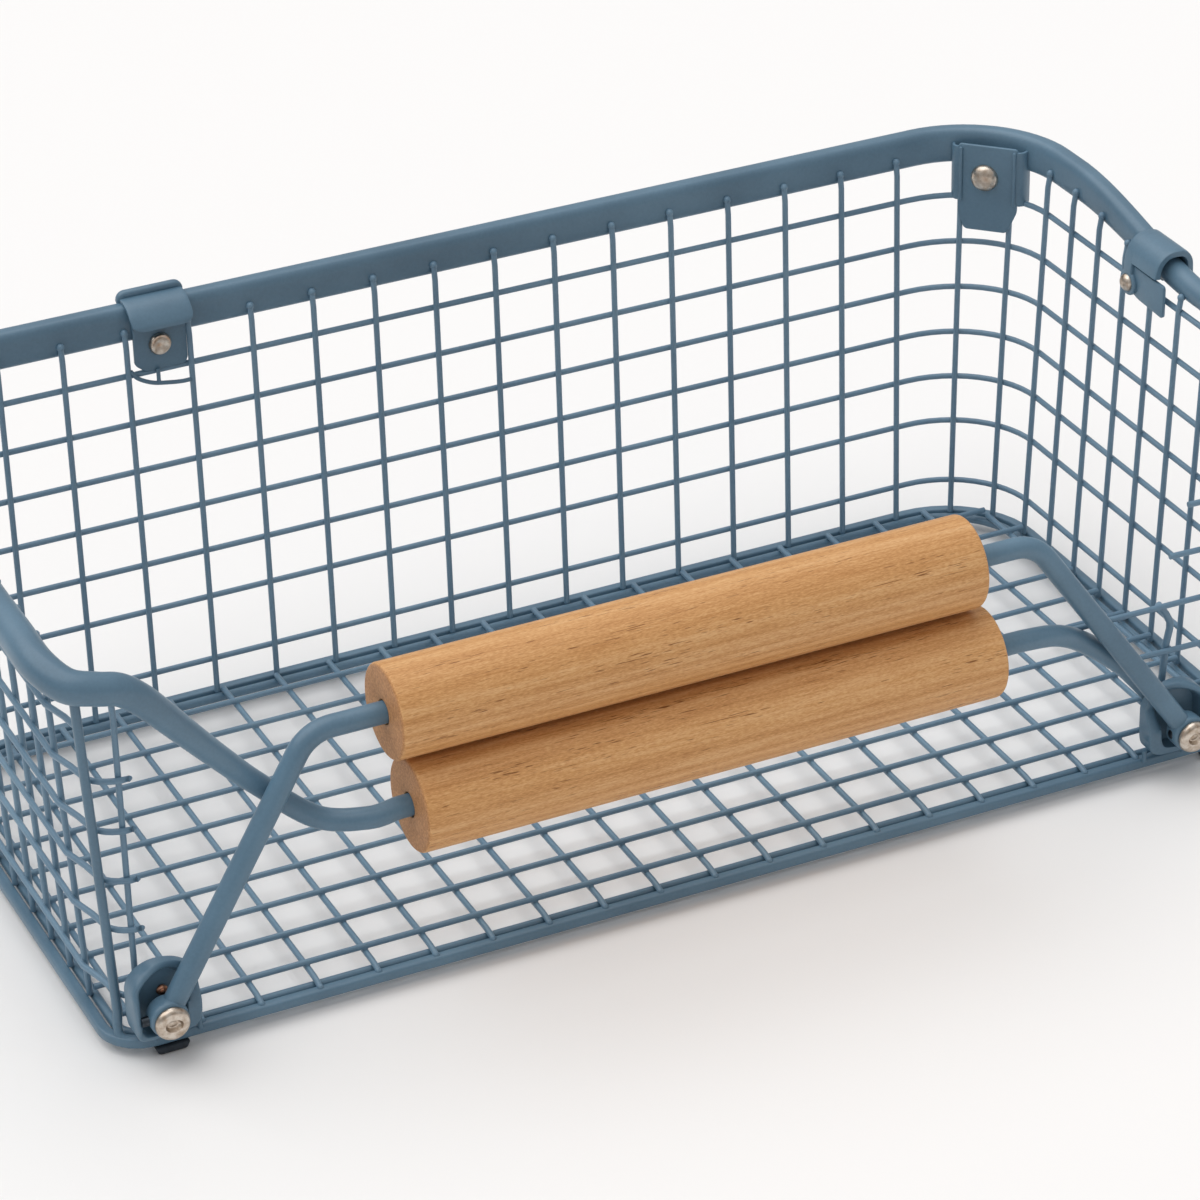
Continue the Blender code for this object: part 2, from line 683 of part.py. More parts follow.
def rim_corner(angle):
    """A point on the rim's centreline round the back-right corner; angle 0 is at the end of the basket."""
    offset = WIRE_RADIUS + GAP + RIM_THICK / 2
    radius = BACK_CORNER_RADIUS + BACK_FLARE + offset
    x = HALF_LENGTH + END_FLARE + offset - radius + radius * cos(angle)
    return x, BACK_ARC_Y + radius * sin(angle)


def make_rim():
    """One tube, flattened along the back and ends, its right front end turned down to the base strip."""
    foot_x = HALF_LENGTH + STRIP_OFFSET
    end = RIM_END_DIAMETER
    top_x = end_rim_x(RIM_LOW_HEIGHT, end)
    rows = [(foot_x, RIM_POST_Y, WALL_FOOT, end, end)]
    for step in range(ARC_STEPS + 1):
        angle = pi / 2 * step / ARC_STEPS
        z = RIM_LOW_HEIGHT - RIM_BEND_RADIUS * (1 - sin(angle))
        x = foot_x + (top_x - foot_x) * z / RIM_LOW_HEIGHT
        rows.append((x, RIM_POST_Y + RIM_BEND_RADIUS * (1 - cos(angle)), z, end, end))
    span = RIM_DIP_BACK - RIM_DIP_FRONT
    depths = [RIM_DIP_FRONT + span * step / (ARC_STEPS + 3) for step in range(ARC_STEPS + 4)]
    rows += [end_rim_row(1, y) for y in depths]
    for side in (1, -1):
        for step in range(ARC_STEPS + 1):
            share = step / ARC_STEPS
            x, y = rim_corner(pi / 2 * (share if side > 0 else 1 - share))
            rows.append((side * x, y, RIM_HEIGHT_ABOVE_GROUND, RIM_TALL, RIM_THICK))
    mouth, ahead = socket_line()
    rows += [end_rim_row(-1, y) for y in reversed(depths) if y > SOCKET_Y + WIRE_DIAMETER]
    along = (ahead - mouth).normalized()
    for place in (mouth - along * GAP * 2, mouth + along * (SOCKET_DEPTH - GAP)):
        rows.append((*place, end, end))
    flattened = [(tall - end) / (RIM_TALL - end) for x, y, z, tall, thick in rows]
    powers = [1 + (RIM_SQUARENESS_SHARE - 1) * share for share in flattened]
    add_object("rim_tube", lofted(rows, squareness=powers), powder_coat)


def bail_depth(height):
    """How far back the bail's plane lies at a height."""
    return PIVOT_Y + (height - PIVOT_HEIGHT) * tan(BAIL_LEAN)


def tab_depth(height):
    """How far back the rail's upright tab lies, the same at every height."""
    return TAB_Y


def rail_rows(route, start, end, depth):
    """Rows of a route from start to end, each an x and a height; depth(height) is what it lies behind."""
    found = []
    for along, behind, down, tall, thick in route:
        x, height = start[0] + (end[0] - start[0]) * along, start[1] + (end[1] - start[1]) * down
        found.append((x, depth(height) + behind, height, tall, thick))
    return found


def make_front_rail():
    """The rail that carries the lower grip: a socket, a stepped corner, a thin rod and a tab end."""
    mouth, ahead = socket_line()
    socket = (SOCKET_DIAMETER, SOCKET_DIAMETER)
    corner = []
    for inset, behind, drop, tall, thick in RAIL_CORNER_ROUTE:
        corner.append((mouth.x + inset, behind - HALF_DEPTH, RIM_LOW_HEIGHT - drop, tall, thick))
    half_run = GRIP_LENGTH / 2 + WIRE_OVERHANG
    run = (RAIL_GRIP_Y, RAIL_GRIP_Z, RAIL_DIAMETER, RAIL_DIAMETER)
    left_end, right_end = [RAIL_GRIP_X + side * half_run for side in (-1, 1)]
    rim_end, tab_end = (mouth.x, RIM_LOW_HEIGHT), (RIGHT_PIVOT_X, SCREW_HEIGHT)
    down = rail_rows(RAIL_LEFT_ROUTE, rim_end, (left_end, RAIL_GRIP_Z), bail_depth)
    left = smooth_rows([(*ahead, *socket), *corner, *down, (left_end, *run)])
    grip_end = (right_end, RAIL_GRIP_Z)
    down = rail_rows(RAIL_RIGHT_ROUTE, grip_end, tab_end, bail_depth)
    down += rail_rows(RAIL_TAB_ROUTE, grip_end, tab_end, tab_depth)
    right = smooth_rows([(right_end, *run), *down])
    rail = lofted([(*mouth, *socket), *left, *right])
    tab_place = Vector((RIGHT_PIVOT_X, TAB_Y, SCREW_HEIGHT))
    half = Y_AXIS * TAB_THICKNESS / 2
    rail = combined(rail, "UNION", [cylinder(TAB_DIAMETER, tab_place - half, tab_place + half, BOSS_SIDES)])
    along = (ahead - mouth).normalized()
    reach = Y_AXIS * CUT_OVERRUN
    bore = cylinder(SOCKET_BORE, mouth - along * CUT_OVERRUN, mouth + along * SOCKET_DEPTH)
    screw_hole = cylinder(SCREW_BORE, tab_place - half - reach, tab_place + half + reach)
    rail = combined(rail, "DIFFERENCE", [bore, screw_hole])
    add_object("front_rail", rail, powder_coat)


def grip_mesh():
    """A turned wooden grip with eased edges, bored through; its axis is Z."""
    outer, bore, top = GRIP_DIAMETER / 2, GRIP_BORE / 2, GRIP_LENGTH / 2
    upper = [(bore, top), (outer - GRIP_EDGE, top), (outer, top - GRIP_EDGE)]
    lower = [(radius, -height) for radius, height in reversed(upper)]
    return turned(upper + lower, GRIP_SIDES, closed=True)


def make_grips(bail):
    place = (RAIL_GRIP_X, RAIL_GRIP_Y, RAIL_GRIP_Z)
    add_object("front_grip", grip_mesh(), beech, place, X_AXIS)
    place = (0, BAIL_REACH * sin(BAIL_LEAN), BAIL_REACH * cos(BAIL_LEAN))
    add_object("bail_grip", grip_mesh(), beech, place, X_AXIS, parent=bail)


def make_bail():
    """A bent rod with an eye boss at each foot; its origin is on the hinge axis, midway between the feet."""
    span, top = PIVOT_HALF_SPAN, BAIL_HALF_TOP

    def in_plane(x, height):
        return Vector((x, height * sin(BAIL_LEAN), height * cos(BAIL_LEAN)))

    start_x = span + (top - span) * ARM_START_SHARE
    start = BAIL_REACH * ARM_START_SHARE
    corners = [(-start_x, start), (-top, BAIL_REACH), (top, BAIL_REACH), (start_x, start)]
    mesh = rod(rounded_path([in_plane(*corner) for corner in corners], BAIL_BEND_RADIUS), BAIL_DIAMETER)
    half = Y_AXIS * BOSS_THICKNESS / 2
    feet = [X_AXIS * side * span for side in (-1, 1)]
    bosses = [cylinder(BOSS_DIAMETER, foot - half, foot + half, BOSS_SIDES) for foot in feet]
    mesh = combined(mesh, "UNION", bosses)
    reach = X_AXIS * (BOSS_DIAMETER / 2 + CUT_OVERRUN * 2)
    cuts = [cylinder(PIN_BORE, foot - reach, foot + reach) for foot in feet]
    depth = Y_AXIS * (CAP_STUB_LENGTH + GAP)
    over = Y_AXIS * CUT_OVERRUN
    cuts += [cylinder(CAP_STUB_BORE, foot - half - over, foot - half + depth) for foot in feet]
    mesh = combined(mesh, "DIFFERENCE", cuts)
    return add_object("bail", mesh, powder_coat, (BAIL_CENTRE_X, PIVOT_Y, PIVOT_HEIGHT))


def make_pivot_caps(bail):
    """The round heads on the front of the bail's feet, each with a short stub in the boss."""
    outer, stub = CAP_DIAMETER / 2, CAP_STUB_DIAMETER / 2
    dimple = CAP_DIMPLE_RADIUS
    profile = [
        (0, CAP_HEIGHT - CAP_DIMPLE_DEPTH),
        (dimple, CAP_HEIGHT),
        ((outer + dimple) / 2, CAP_HEIGHT - CAP_DIMPLE_DEPTH / 2),
        (outer - dimple / 3, CAP_RIM_HEIGHT + dimple / 3),
        (outer, CAP_RIM_HEIGHT),
        (outer, 0),
        (stub, 0),
        (stub, -CAP_STUB_LENGTH - GAP),
        (0, -CAP_STUB_LENGTH - GAP),
    ]
    for name, side in (("left_pivot_cap", -1), ("right_pivot_cap", 1)):
        place = (side * PIVOT_HALF_SPAN, -BOSS_THICKNESS / 2 - GAP, 0)
        add_object(name, turned(profile, ROUND_SIDES), nickel, place, -Y_AXIS, parent=bail)


def plate_outline(inset):
    """The corner plate seen from the front, its Y being height: an arched top and rounded lower corners."""
    half = PLATE_WIDTH / 2
    top, bottom = PLATE_ABOVE_PIVOT - half, -PLATE_BELOW_PIVOT + PLATE_CORNER_RADIUS
    points = []
    steps = ARC_STEPS + 4
    for step in range(steps + 1):
        angle = pi * step / steps
        points.append(((half - inset) * cos(angle), top + (half - inset) * sin(angle)))
    radius = PLATE_CORNER_RADIUS - inset
    for side, begin in ((-1, pi), (1, 3 * pi / 2)):
        for step in range(4):
            angle = begin + pi / 2 * step / 3
            x = side * (half - PLATE_CORNER_RADIUS) + radius * cos(angle)
            points.append((x, bottom + radius * sin(angle)))
    return [(x, y + PIVOT_HEIGHT) for x, y in points]


def make_corner_plates():
    """A pressed plate at each foot of the bail, its edge beaded, with two cheeks that hold the hinge pin."""
    for side_name, x in (("left", LEFT_PIVOT_X), ("right", RIGHT_PIVOT_X)):
        sheet = flat_outline([plate_outline(0)], PLATE_THICKNESS)
        sheet = upright(sheet, x, PLATE_BACK - PLATE_THICKNESS / 2)
        bead_thickness = PLATE_THICKNESS / 2 + BEAD_HEIGHT
        outlines = [plate_outline(BEAD_INSET), plate_outline(BEAD_INSET + BEAD_WIDTH)]
        bead = flat_outline(outlines, bead_thickness)
        bead = upright(bead, x, PLATE_FACE - BEAD_HEIGHT + bead_thickness / 2)
        root = PLATE_FACE + PLATE_THICKNESS / 2 - PIVOT_Y
        cheek_outline = [(root, CHEEK_RADIUS), (root, -CHEEK_RADIUS)]
        for step in range(ARC_STEPS + 2):
            angle = -pi / 2 - pi * step / (ARC_STEPS + 1)
            cheek_outline.append((CHEEK_RADIUS * cos(angle), CHEEK_RADIUS * sin(angle)))
        cheeks = []
        for side in (-1, 1):
            cheek = flat_outline([cheek_outline], CHEEK_THICKNESS)
            cheek.transform(Matrix.Rotation(pi / 2, 4, "Z") @ Matrix.Rotation(pi / 2, 4, "X"))
            middle = x + side * (CHEEK_INNER + CHEEK_THICKNESS / 2)
            cheek.transform(Matrix.Translation((middle, PIVOT_Y, PIVOT_HEIGHT)))
            cheeks.append(cheek)
        plate = combined(sheet, "UNION", [bead, *cheeks])
        pivot = Vector((x, PIVOT_Y, PIVOT_HEIGHT))
        reach = X_AXIS * (CHEEK_INNER + CHEEK_THICKNESS + CUT_OVERRUN)
        screw = Vector((x, PLATE_FACE, SCREW_HEIGHT))
        reach_y = Y_AXIS * CUT_OVERRUN
        pin_hole = cylinder(PIN_BORE, pivot - reach, pivot + reach)
        screw_hole = cylinder(SCREW_BORE, screw - reach_y, screw + reach_y)
        plate = combined(plate, "DIFFERENCE", [pin_hole, screw_hole])
        add_object(side_name + "_corner_plate", plate, powder_coat)


def make_hinge_pins():
    """A pin through each pair of cheeks and the bail's foot between them, headed at both ends."""
    head, shank = PIN_HEAD_DIAMETER / 2, PIN_DIAMETER / 2
    under = CHEEK_INNER + CHEEK_THICKNESS + GAP
    upper = [(0, under + PIN_HEAD_HEIGHT), (head, under + PIN_HEAD_HEIGHT), (head, under), (shank, under)]
    lower = [(radius, -height) for radius, height in reversed(upper)]
    for name, x in (("left_hinge_pin", LEFT_PIVOT_X), ("right_hinge_pin", RIGHT_PIVOT_X)):
        add_object(name, turned(upper + lower), nickel, (x, PIVOT_Y, PIVOT_HEIGHT), X_AXIS)


def make_plate_screws():
    """The small coppered fixings above the pivots; the right one also holds the rail's tab."""
    head, shank = SCREW_HEAD_DIAMETER / 2, SCREW_SHANK_DIAMETER / 2
    for name, x, behind in (
        ("left_plate_screw", LEFT_PIVOT_X, PLATE_BACK),
        ("right_plate_screw", RIGHT_PIVOT_X, TAB_Y + TAB_THICKNESS / 2),
    ):
        far = PLATE_FACE - GAP - behind - GAP
        profile = [
            (0, SCREW_HEAD_HEIGHT),
            (head / 2, SCREW_HEAD_HEIGHT),
            (head, SCREW_HEAD_HEIGHT / 2),
            (head, 0),
            (shank, 0),
            (shank, far),
            (head, far),
            (head, far - SCREW_HEAD_HEIGHT / 2),
            (0, far - SCREW_HEAD_HEIGHT / 2),
        ]
        add_object(name, turned(profile), copper, (x, PLATE_FACE - GAP, SCREW_HEIGHT), -Y_AXIS)


def clip_section(tall, thick, wall, share, lean, crest, drop):
    """The strap's outline as (outwards, height) from the rim's centre; share is -1 to 1 across its width.

    crest is how thick the strap is on top of the rim, and drop how far down its inner leg reaches.
    """
    inner = wall + WIRE_RADIUS + GAP
    outer, top = thick / 2 + GAP, tall / 2 + GAP
    strap, bend = CLIP_THICKNESS, CLIP_BEND_RADIUS
    rise = CLIP_TAPER * share * share
    inner_drop, outer_drop = drop - rise, CLIP_OUTER_DROP - rise
    inner_foot = inner + lean * inner_drop
    soft = bend * (1 - sqrt(0.5))
    inside_bend = bend - strap
    return [
        (-inner_foot - strap, -inner_drop),
        (-inner - strap, top + crest - bend),
        (-inner - strap + soft, top + crest - soft),
        (-inner - strap + bend, top + crest),
        (outer + strap - bend, top + crest),
        (outer + strap - soft, top + crest - soft),
        (outer + strap, top + crest - bend),
        (outer + strap, -outer_drop),
        (outer, -outer_drop),
        (outer, top - inside_bend),
        (outer - inside_bend, top),
        (-inner + inside_bend, top),
        (-inner, top - inside_bend),
        (-inner_foot, -inner_drop),
    ]


def make_clip(name, rim_at, lean, hollow=0, crest=CLIP_CREST, drop=CLIP_INNER_DROP):
    """A strap folded over the rim and riveted through both legs below it.

    rim_at(s) describes the rim at a distance s from the middle of the strap: its centre, the outward
    direction, how tall and how thick it is, and how far in the mesh lies. hollow is how far the strap's face
    curves in under the rivet's head. crest is how thick the strap is on top, and drop how far its inner leg
    reaches.
    """
    shape = bmesh.new()
    rings = []
    for step in range(ARC_STEPS + 2):
        share = 2 * step / (ARC_STEPS + 1) - 1
        centre, outward, tall, thick, wall = rim_at(share * CLIP_WIDTH / 2)
        section = clip_section(tall, thick, wall, share, lean, crest, drop)
        rings.append([shape.verts.new(centre + outward * out + Z_AXIS * up) for out, up in section])
    for first, second in zip(rings, rings[1:]):
        for index in range(len(first)):
            shape.faces.new((first[index - 1], first[index], second[index], second[index - 1]))
    shape.faces.new(rings[0])
    shape.faces.new(rings[-1])
    centre, outward, tall, thick, wall = rim_at(0)
    below = tall / 2 + GAP + RIVET_SHANK_DIAMETER / 2
    inner = wall + WIRE_RADIUS + GAP + lean * below + CLIP_THICKNESS
    outer = thick / 2 + GAP + CLIP_THICKNESS
    middle = centre - Z_AXIS * below
    start = middle - outward * (inner + CUT_OVERRUN)
    hole = cylinder(RIVET_BORE, start, middle + outward * (outer + CUT_OVERRUN))
    add_object(name, combined(finished(shape, name), "DIFFERENCE", [hole]), powder_coat)
    head, tail, shank = RIVET_HEAD_DIAMETER / 2, RIVET_TAIL_DIAMETER / 2, RIVET_SHANK_DIAMETER / 2
    under = inner + GAP + hollow
    far = -outer - GAP
    profile = [
        (0, under + RIVET_HEAD_HEIGHT),
        (head / 2, under + RIVET_HEAD_HEIGHT * 7 / 8),
        (head * 7 / 8, under + RIVET_HEAD_HEIGHT / 2),
        (head, under + RIVET_HEAD_HEIGHT / 5),
        (head, under),
        (shank, under),
        (shank, far),
        (tail, far),
        (tail, far - RIVET_TAIL_HEIGHT),
        (0, far - RIVET_TAIL_HEIGHT),
    ]
    add_object(name + "_rivet", turned(profile), nickel, middle, -outward)


def make_clips():
    rise = RIM_HEIGHT_ABOVE_GROUND - WALL_FOOT
    rim_y = rim_corner(pi / 2)[1]
    wall = RIM_THICK / 2 + GAP + WIRE_RADIUS

    def at_back(s):
        return Vector((CLIP_BACK_X + s, rim_y, RIM_HEIGHT_ABOVE_GROUND)), Y_AXIS, RIM_TALL, RIM_THICK, wall

    def at_corner(s):
        angle = pi / 4 + s / BACK_CORNER_RADIUS
        centre = Vector((*rim_corner(angle), RIM_HEIGHT_ABOVE_GROUND))
        outward = Vector((cos(angle), sin(angle), 0))
        return centre, outward, RIM_TALL, RIM_THICK, wall + CORNER_CLIP_CLEARANCE

    def at_end(side, middle):
        def at(s):
            x, y, height, tall, thick = end_rim_row(side, middle + side * s)
            mesh_x = HALF_LENGTH + END_FLARE * flare_share(height)
            return Vector((x, y, height)), X_AXIS * side, tall, thick, abs(x) - mesh_x

        return at

    make_clip("back_clip", at_back, BACK_FLARE / rise)
    hollow = RIVET_HEAD_DIAMETER**2 / (BACK_CORNER_RADIUS * 6)
    make_clip("corner_clip", at_corner, END_FLARE / rise, hollow, CLIP_THICKNESS, CORNER_CLIP_INNER_DROP)
    make_clip("right_clip", at_end(1, CLIP_RIGHT_Y), END_FLARE / rise)
    make_clip("left_clip", at_end(-1, CLIP_LEFT_Y), END_FLARE / rise)


def centre_on_ground():
    """Moves everything so that the origin is on the ground under the middle of the overall box."""
    bpy.context.view_layer.update()
    graph = bpy.context.evaluated_depsgraph_get()
    corners = []
    for obj in parts.objects:
        seen = obj.evaluated_get(graph)
        corners += [obj.matrix_world @ vert.co for vert in seen.data.vertices]
    places = np.array([tuple(corner) for corner in corners])
    low, high = places.min(axis=0), places.max(axis=0)
    shift = Vector((-(low[0] + high[0]) / 2, -(low[1] + high[1]) / 2, -low[2]))
    for obj in parts.objects:
        if obj.parent is None:
            obj.location += shift


make_base()
make_feet()
make_floor()
make_walls()
make_back_corners()
make_front_returns()
make_front_post()
make_rim()
make_front_rail()
bail_object = make_bail()
make_pivot_caps(bail_object)
make_grips(bail_object)
make_corner_plates()
make_hinge_pins()
make_plate_screws()
make_clips()
centre_on_ground()
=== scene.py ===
from math import copysign, cos, pi, radians, sin, sqrt

import bmesh
import bpy
from mathutils import Matrix, Vector


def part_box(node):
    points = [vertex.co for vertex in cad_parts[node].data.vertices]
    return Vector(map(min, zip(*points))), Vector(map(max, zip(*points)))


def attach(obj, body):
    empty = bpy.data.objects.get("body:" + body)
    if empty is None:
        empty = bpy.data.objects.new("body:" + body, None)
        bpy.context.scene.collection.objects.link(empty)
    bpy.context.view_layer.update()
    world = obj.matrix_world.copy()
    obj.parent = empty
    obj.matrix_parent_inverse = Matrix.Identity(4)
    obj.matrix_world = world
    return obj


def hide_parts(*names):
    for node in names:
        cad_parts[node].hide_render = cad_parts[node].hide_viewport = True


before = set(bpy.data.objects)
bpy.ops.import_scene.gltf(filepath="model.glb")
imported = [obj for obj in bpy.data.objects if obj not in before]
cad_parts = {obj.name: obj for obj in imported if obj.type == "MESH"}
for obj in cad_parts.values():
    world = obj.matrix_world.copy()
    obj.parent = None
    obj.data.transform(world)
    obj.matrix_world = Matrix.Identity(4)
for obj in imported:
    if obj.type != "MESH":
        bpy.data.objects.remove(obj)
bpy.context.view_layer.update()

# Base ring: a steel strip of nearly square section with rounded arrises, and a round rod inside it. Both are bent
# to the basket's outline and welded closed, then powder-coated with the whole basket.
HALF_LENGTH = 0.196
HALF_DEPTH = 0.088
BACK_ARC = (0.166, 0.058, 0.030)
FRONT_ARC = (0.186, -0.078, 0.010)
STRIP_OFFSET = 0.0025
STRIP_TALL = 0.0034
STRIP_THICK = 0.0036
STRIP_CENTRE = 0.0047
STRIP_POWER = 0.45
ROD_OFFSET = -0.0018
ROD_DIAMETER = 0.0030
ROD_CENTRE = 0.0047
RING_STEPS = 10
X_AXIS = Vector((1, 0, 0))
Y_AXIS = Vector((0, 1, 0))
Z_AXIS = Vector((0, 0, 1))
SAME_PLACE = 0.000001
strip_low, strip_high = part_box("base_strip")
middle = (strip_low + strip_high) / 2
middle.z = 0


def linear(code):
    """A six-figure sRGB colour as linear red, green, blue and alpha."""
    values = [int(code[place:place + 2], 16) / 255 for place in (0, 2, 4)]
    return (*[value / 12.92 if value <= 0.04045 else ((value + 0.055) / 1.055) ** 2.4 for value in values], 1)


def add_node(tree, kind, inputs=None, **settings):
    """Adds a shader node; an input is given as a value or as the socket that feeds it."""
    made = tree.nodes.new("ShaderNode" + kind)
    for name, value in settings.items():
        setattr(made, name, value)
    for name, value in (inputs or {}).items():
        if isinstance(value, bpy.types.NodeSocket):
            tree.links.new(value, made.inputs[name])
        else:
            made.inputs[name].default_value = value
    return made


def new_material(name, **sockets):
    """A material with its shader's plain sockets set; returns it with its node tree, shader and coordinates."""
    material = bpy.data.materials.new(name)
    material.use_nodes = True
    tree = material.node_tree
    shader = tree.nodes["Principled BSDF"]
    for socket, value in sockets.items():
        shader.inputs[socket.replace("_", " ")].default_value = value
    return material, tree, shader, add_node(tree, "TexCoord").outputs["Object"]


def patches(tree, place, first, second, **noise):
    """Soft patches of two tones, each given as its height in the noise and its hex value."""
    made = add_node(tree, "TexNoise", {"Vector": place, **noise})
    ramp = add_node(tree, "ValToRGB", {"Fac": made.outputs["Fac"]})
    for stop, (position, code) in zip(ramp.color_ramp.elements, (first, second)):
        stop.position, stop.color = position, linear(code)
    return made.outputs["Fac"], ramp.outputs["Color"]


def set_surface(tree, shader, colour, relief, dull=None):
    """Feeds the shader; relief is a bump's socket, strength and depth, dull a roughness' socket, least and most."""
    tree.links.new(colour, shader.inputs["Base Color"])
    bump = add_node(tree, "Bump", dict(zip(("Height", "Strength", "Distance"), relief)))
    tree.links.new(bump.outputs["Normal"], shader.inputs["Normal"])
    if dull:
        rough = add_node(tree, "MapRange", dict(zip(("Value", "To Min", "To Max"), dull)))
        tree.links.new(rough.outputs["Result"], shader.inputs["Roughness"])


def make_powder_coat(name, deep, pale):
    """Baked polyester powder: satin, with a fine orange peel and slightly uneven depth of colour.

    The paler copy used on the thin wires is painted light: it stands in for the bright backdrop showing round them.
    The peel is drawn 1 mm across, coarser than it is, so that it shows; the patches of deeper colour are about 36 mm
    across.
    """
    material, tree, shader, place = new_material(name, Specular_IOR_Level=0.5)
    depth, colour = patches(tree, place, (0.30, deep), (0.72, pale), Scale=28.0, Detail=3.0)
    peel = add_node(tree, "TexNoise", {"Vector": place, "Scale": 950.0, "Detail": 2.0}).outputs["Fac"]
    speck = add_node(tree, "Mix", {0: 0.10, 6: colour, 7: peel}, data_type="RGBA", blend_type="OVERLAY")
    set_surface(tree, shader, speck.outputs[2], (peel, 0.22, 0.00012), (depth, 0.30, 0.42))
    return material


powder_coat = make_powder_coat("blue_grey_powder_coat", "506D81", "5F7E93")
# The wires' coat is the same powder painted paler: painted light for the bright backdrop round the thin wires.
wire_coat_painted_light = make_powder_coat("blue_grey_powder_painted_lighter_for_wires", "5E7C92", "6D8BA0")


def tube(rows, sides, closed=False, side=None):
    """A tube of bridged rings; each row is a place, how tall and how thick the tube is there, and a power.

    The power squares the section: 1 is an ellipse, less than 1 is fuller in its corners. The thickness is
    measured towards side, which is level unless it is given.
    """
    shape = bmesh.new()
    places = [Vector(row[0]) for row in rows]
    last = len(rows) - 1
    rings = []
    for index, (place, tall, thick, power) in enumerate(rows):
        before = places[index - 1] if index or closed else places[0]
        after = places[(index + 1) % len(rows)] if index < last or closed else places[-1]
        along = (after - before).normalized()
        side = along.cross(Z_AXIS) if side is None else side
        side = (side - along * side.dot(along)).normalized()
        up = side.cross(along)
        ends = not closed and index in (0, last)
        ring = bmesh.ops.create_circle(shape, segments=sides, radius=1, cap_ends=ends)["verts"]
        for corner in ring:
            across = copysign(abs(corner.co.x) ** power, corner.co.x) * thick / 2
            rise = copysign(abs(corner.co.y) ** power, corner.co.y) * tall / 2
            corner.co = places[index] + side * across + up * rise
        rings.append(list(dict.fromkeys(edge for corner in ring for edge in corner.link_edges)))
    if closed:
        rings.append(rings[0])
    for first, second in zip(rings, rings[1:]):
        bmesh.ops.bridge_loops(shape, edges=[*first, *second])
    return shape


def wires(paths, diameter):
    """Round wires along the paths, their ends capped, from one bevelled curve."""
    curve = bpy.data.curves.new("wires", "CURVE")
    curve.dimensions = "3D"
    curve.bevel_depth = diameter / 2
    curve.bevel_resolution = 3
    curve.use_fill_caps = True
    for path in paths:
        spline = curve.splines.new("POLY")
        spline.points.add(len(path) - 1)
        spline.points.foreach_set("co", [number for place in path for number in (*place, 1)])
    holder = bpy.data.objects.new("wires", curve)
    mesh = bpy.data.meshes.new_from_object(holder)
    shape = bmesh.new()
    shape.from_mesh(mesh)
    bpy.data.objects.remove(holder)
    bpy.data.curves.remove(curve)
    bpy.data.meshes.remove(mesh)
    return shape


def piece(name, shapes, material, slot, body, *nodes, sharp=40):
    """Joins the shapes into one finished piece that rides on a body and stands for the named CAD nodes."""
    mesh = bpy.data.meshes.new(name)
    whole = bmesh.new()
    for shape in shapes:
        shape.to_mesh(mesh)
        whole.from_mesh(mesh)
        shape.free()
    bmesh.ops.remove_doubles(whole, verts=whole.verts[:], dist=SAME_PLACE)
    bmesh.ops.recalc_face_normals(whole, faces=whole.faces[:])
    bmesh.ops.translate(whole, vec=middle, verts=whole.verts[:])
    whole.to_mesh(mesh)
    whole.free()
    mesh.materials.append(material)
    mesh.shade_smooth()
    mesh.set_sharp_from_angle(angle=radians(sharp))
    obj = bpy.data.objects.new(name, mesh)
    bpy.context.scene.collection.objects.link(obj)
    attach(obj, body)
    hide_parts(*nodes)


def quarter_turn(steps, start=0):
    """The angles of an arc of 90 degrees that begins this many quarters of a turn round."""
    return [pi / 2 * (start + step / steps) for step in range(steps + 1)]


def ring_path(offset, height):
    """The base outline at this height, offset outwards from the wall wires."""
    points = []
    corners = ((BACK_ARC, 1, 0), (BACK_ARC, -1, 1), (FRONT_ARC, -1, 2), (FRONT_ARC, 1, 3))
    for (x, y, radius), side, start in corners:
        reach = radius + offset
        for angle in quarter_turn(RING_STEPS, start):
            points.append(Vector((side * x + reach * cos(angle), y + reach * sin(angle), height)))
    return points


strip_rows = [(place, STRIP_TALL, STRIP_THICK, STRIP_POWER) for place in ring_path(STRIP_OFFSET, STRIP_CENTRE)]
strip = tube(strip_rows, sides=20, closed=True)
piece("base_strip_band", [strip], powder_coat, "powder_coat", "basket", "base_strip")
rod_rows = [(place, ROD_DIAMETER, ROD_DIAMETER, 1) for place in ring_path(ROD_OFFSET, ROD_CENTRE)]
rod = tube(rod_rows, sides=16, closed=True)
piece("base_rod_ring", [rod], powder_coat, "powder_coat", "basket", "base_rod")

# Feet: four small moulded rubber pads pressed on to the underside of the strip.
# Black rubber, matt, a little dusty on its faces.
FOOT_SIZE = (0.0112, 0.0054, 0.0027)
FOOT_EDGE = 0.0008
FOOT_TAPER = (0.80, 0.86, 1)
FOOT_PLACES = {
    "front_left_foot": (-0.1815, -0.0905),
    "front_right_foot": (0.1815, -0.0905),
    "back_left_foot": (-0.1615, 0.0905),
    "back_right_foot": (0.1615, 0.0905),
}


def make_rubber():
    """Moulded rubber: near black, matt, with a trace of dust that greys it in patches of about 2.4 mm."""
    material, tree, shader, place = new_material("black_rubber", Roughness=0.72)
    dust, colour = patches(tree, place, (0.35, "1B222A"), (0.75, "2F3942"), Scale=420.0, Detail=4.0)
    set_surface(tree, shader, colour, (dust, 0.4, 0.0001))
    return material


def round_edges(shape, edges, radius, segments):
    """Rounds these edges with a bevel that never runs into its neighbours."""
    bmesh.ops.bevel(
        shape, geom=edges, offset=radius, segments=segments, profile=0.5, affect="EDGES", material=-1,
        clamp_overlap=True,
    )


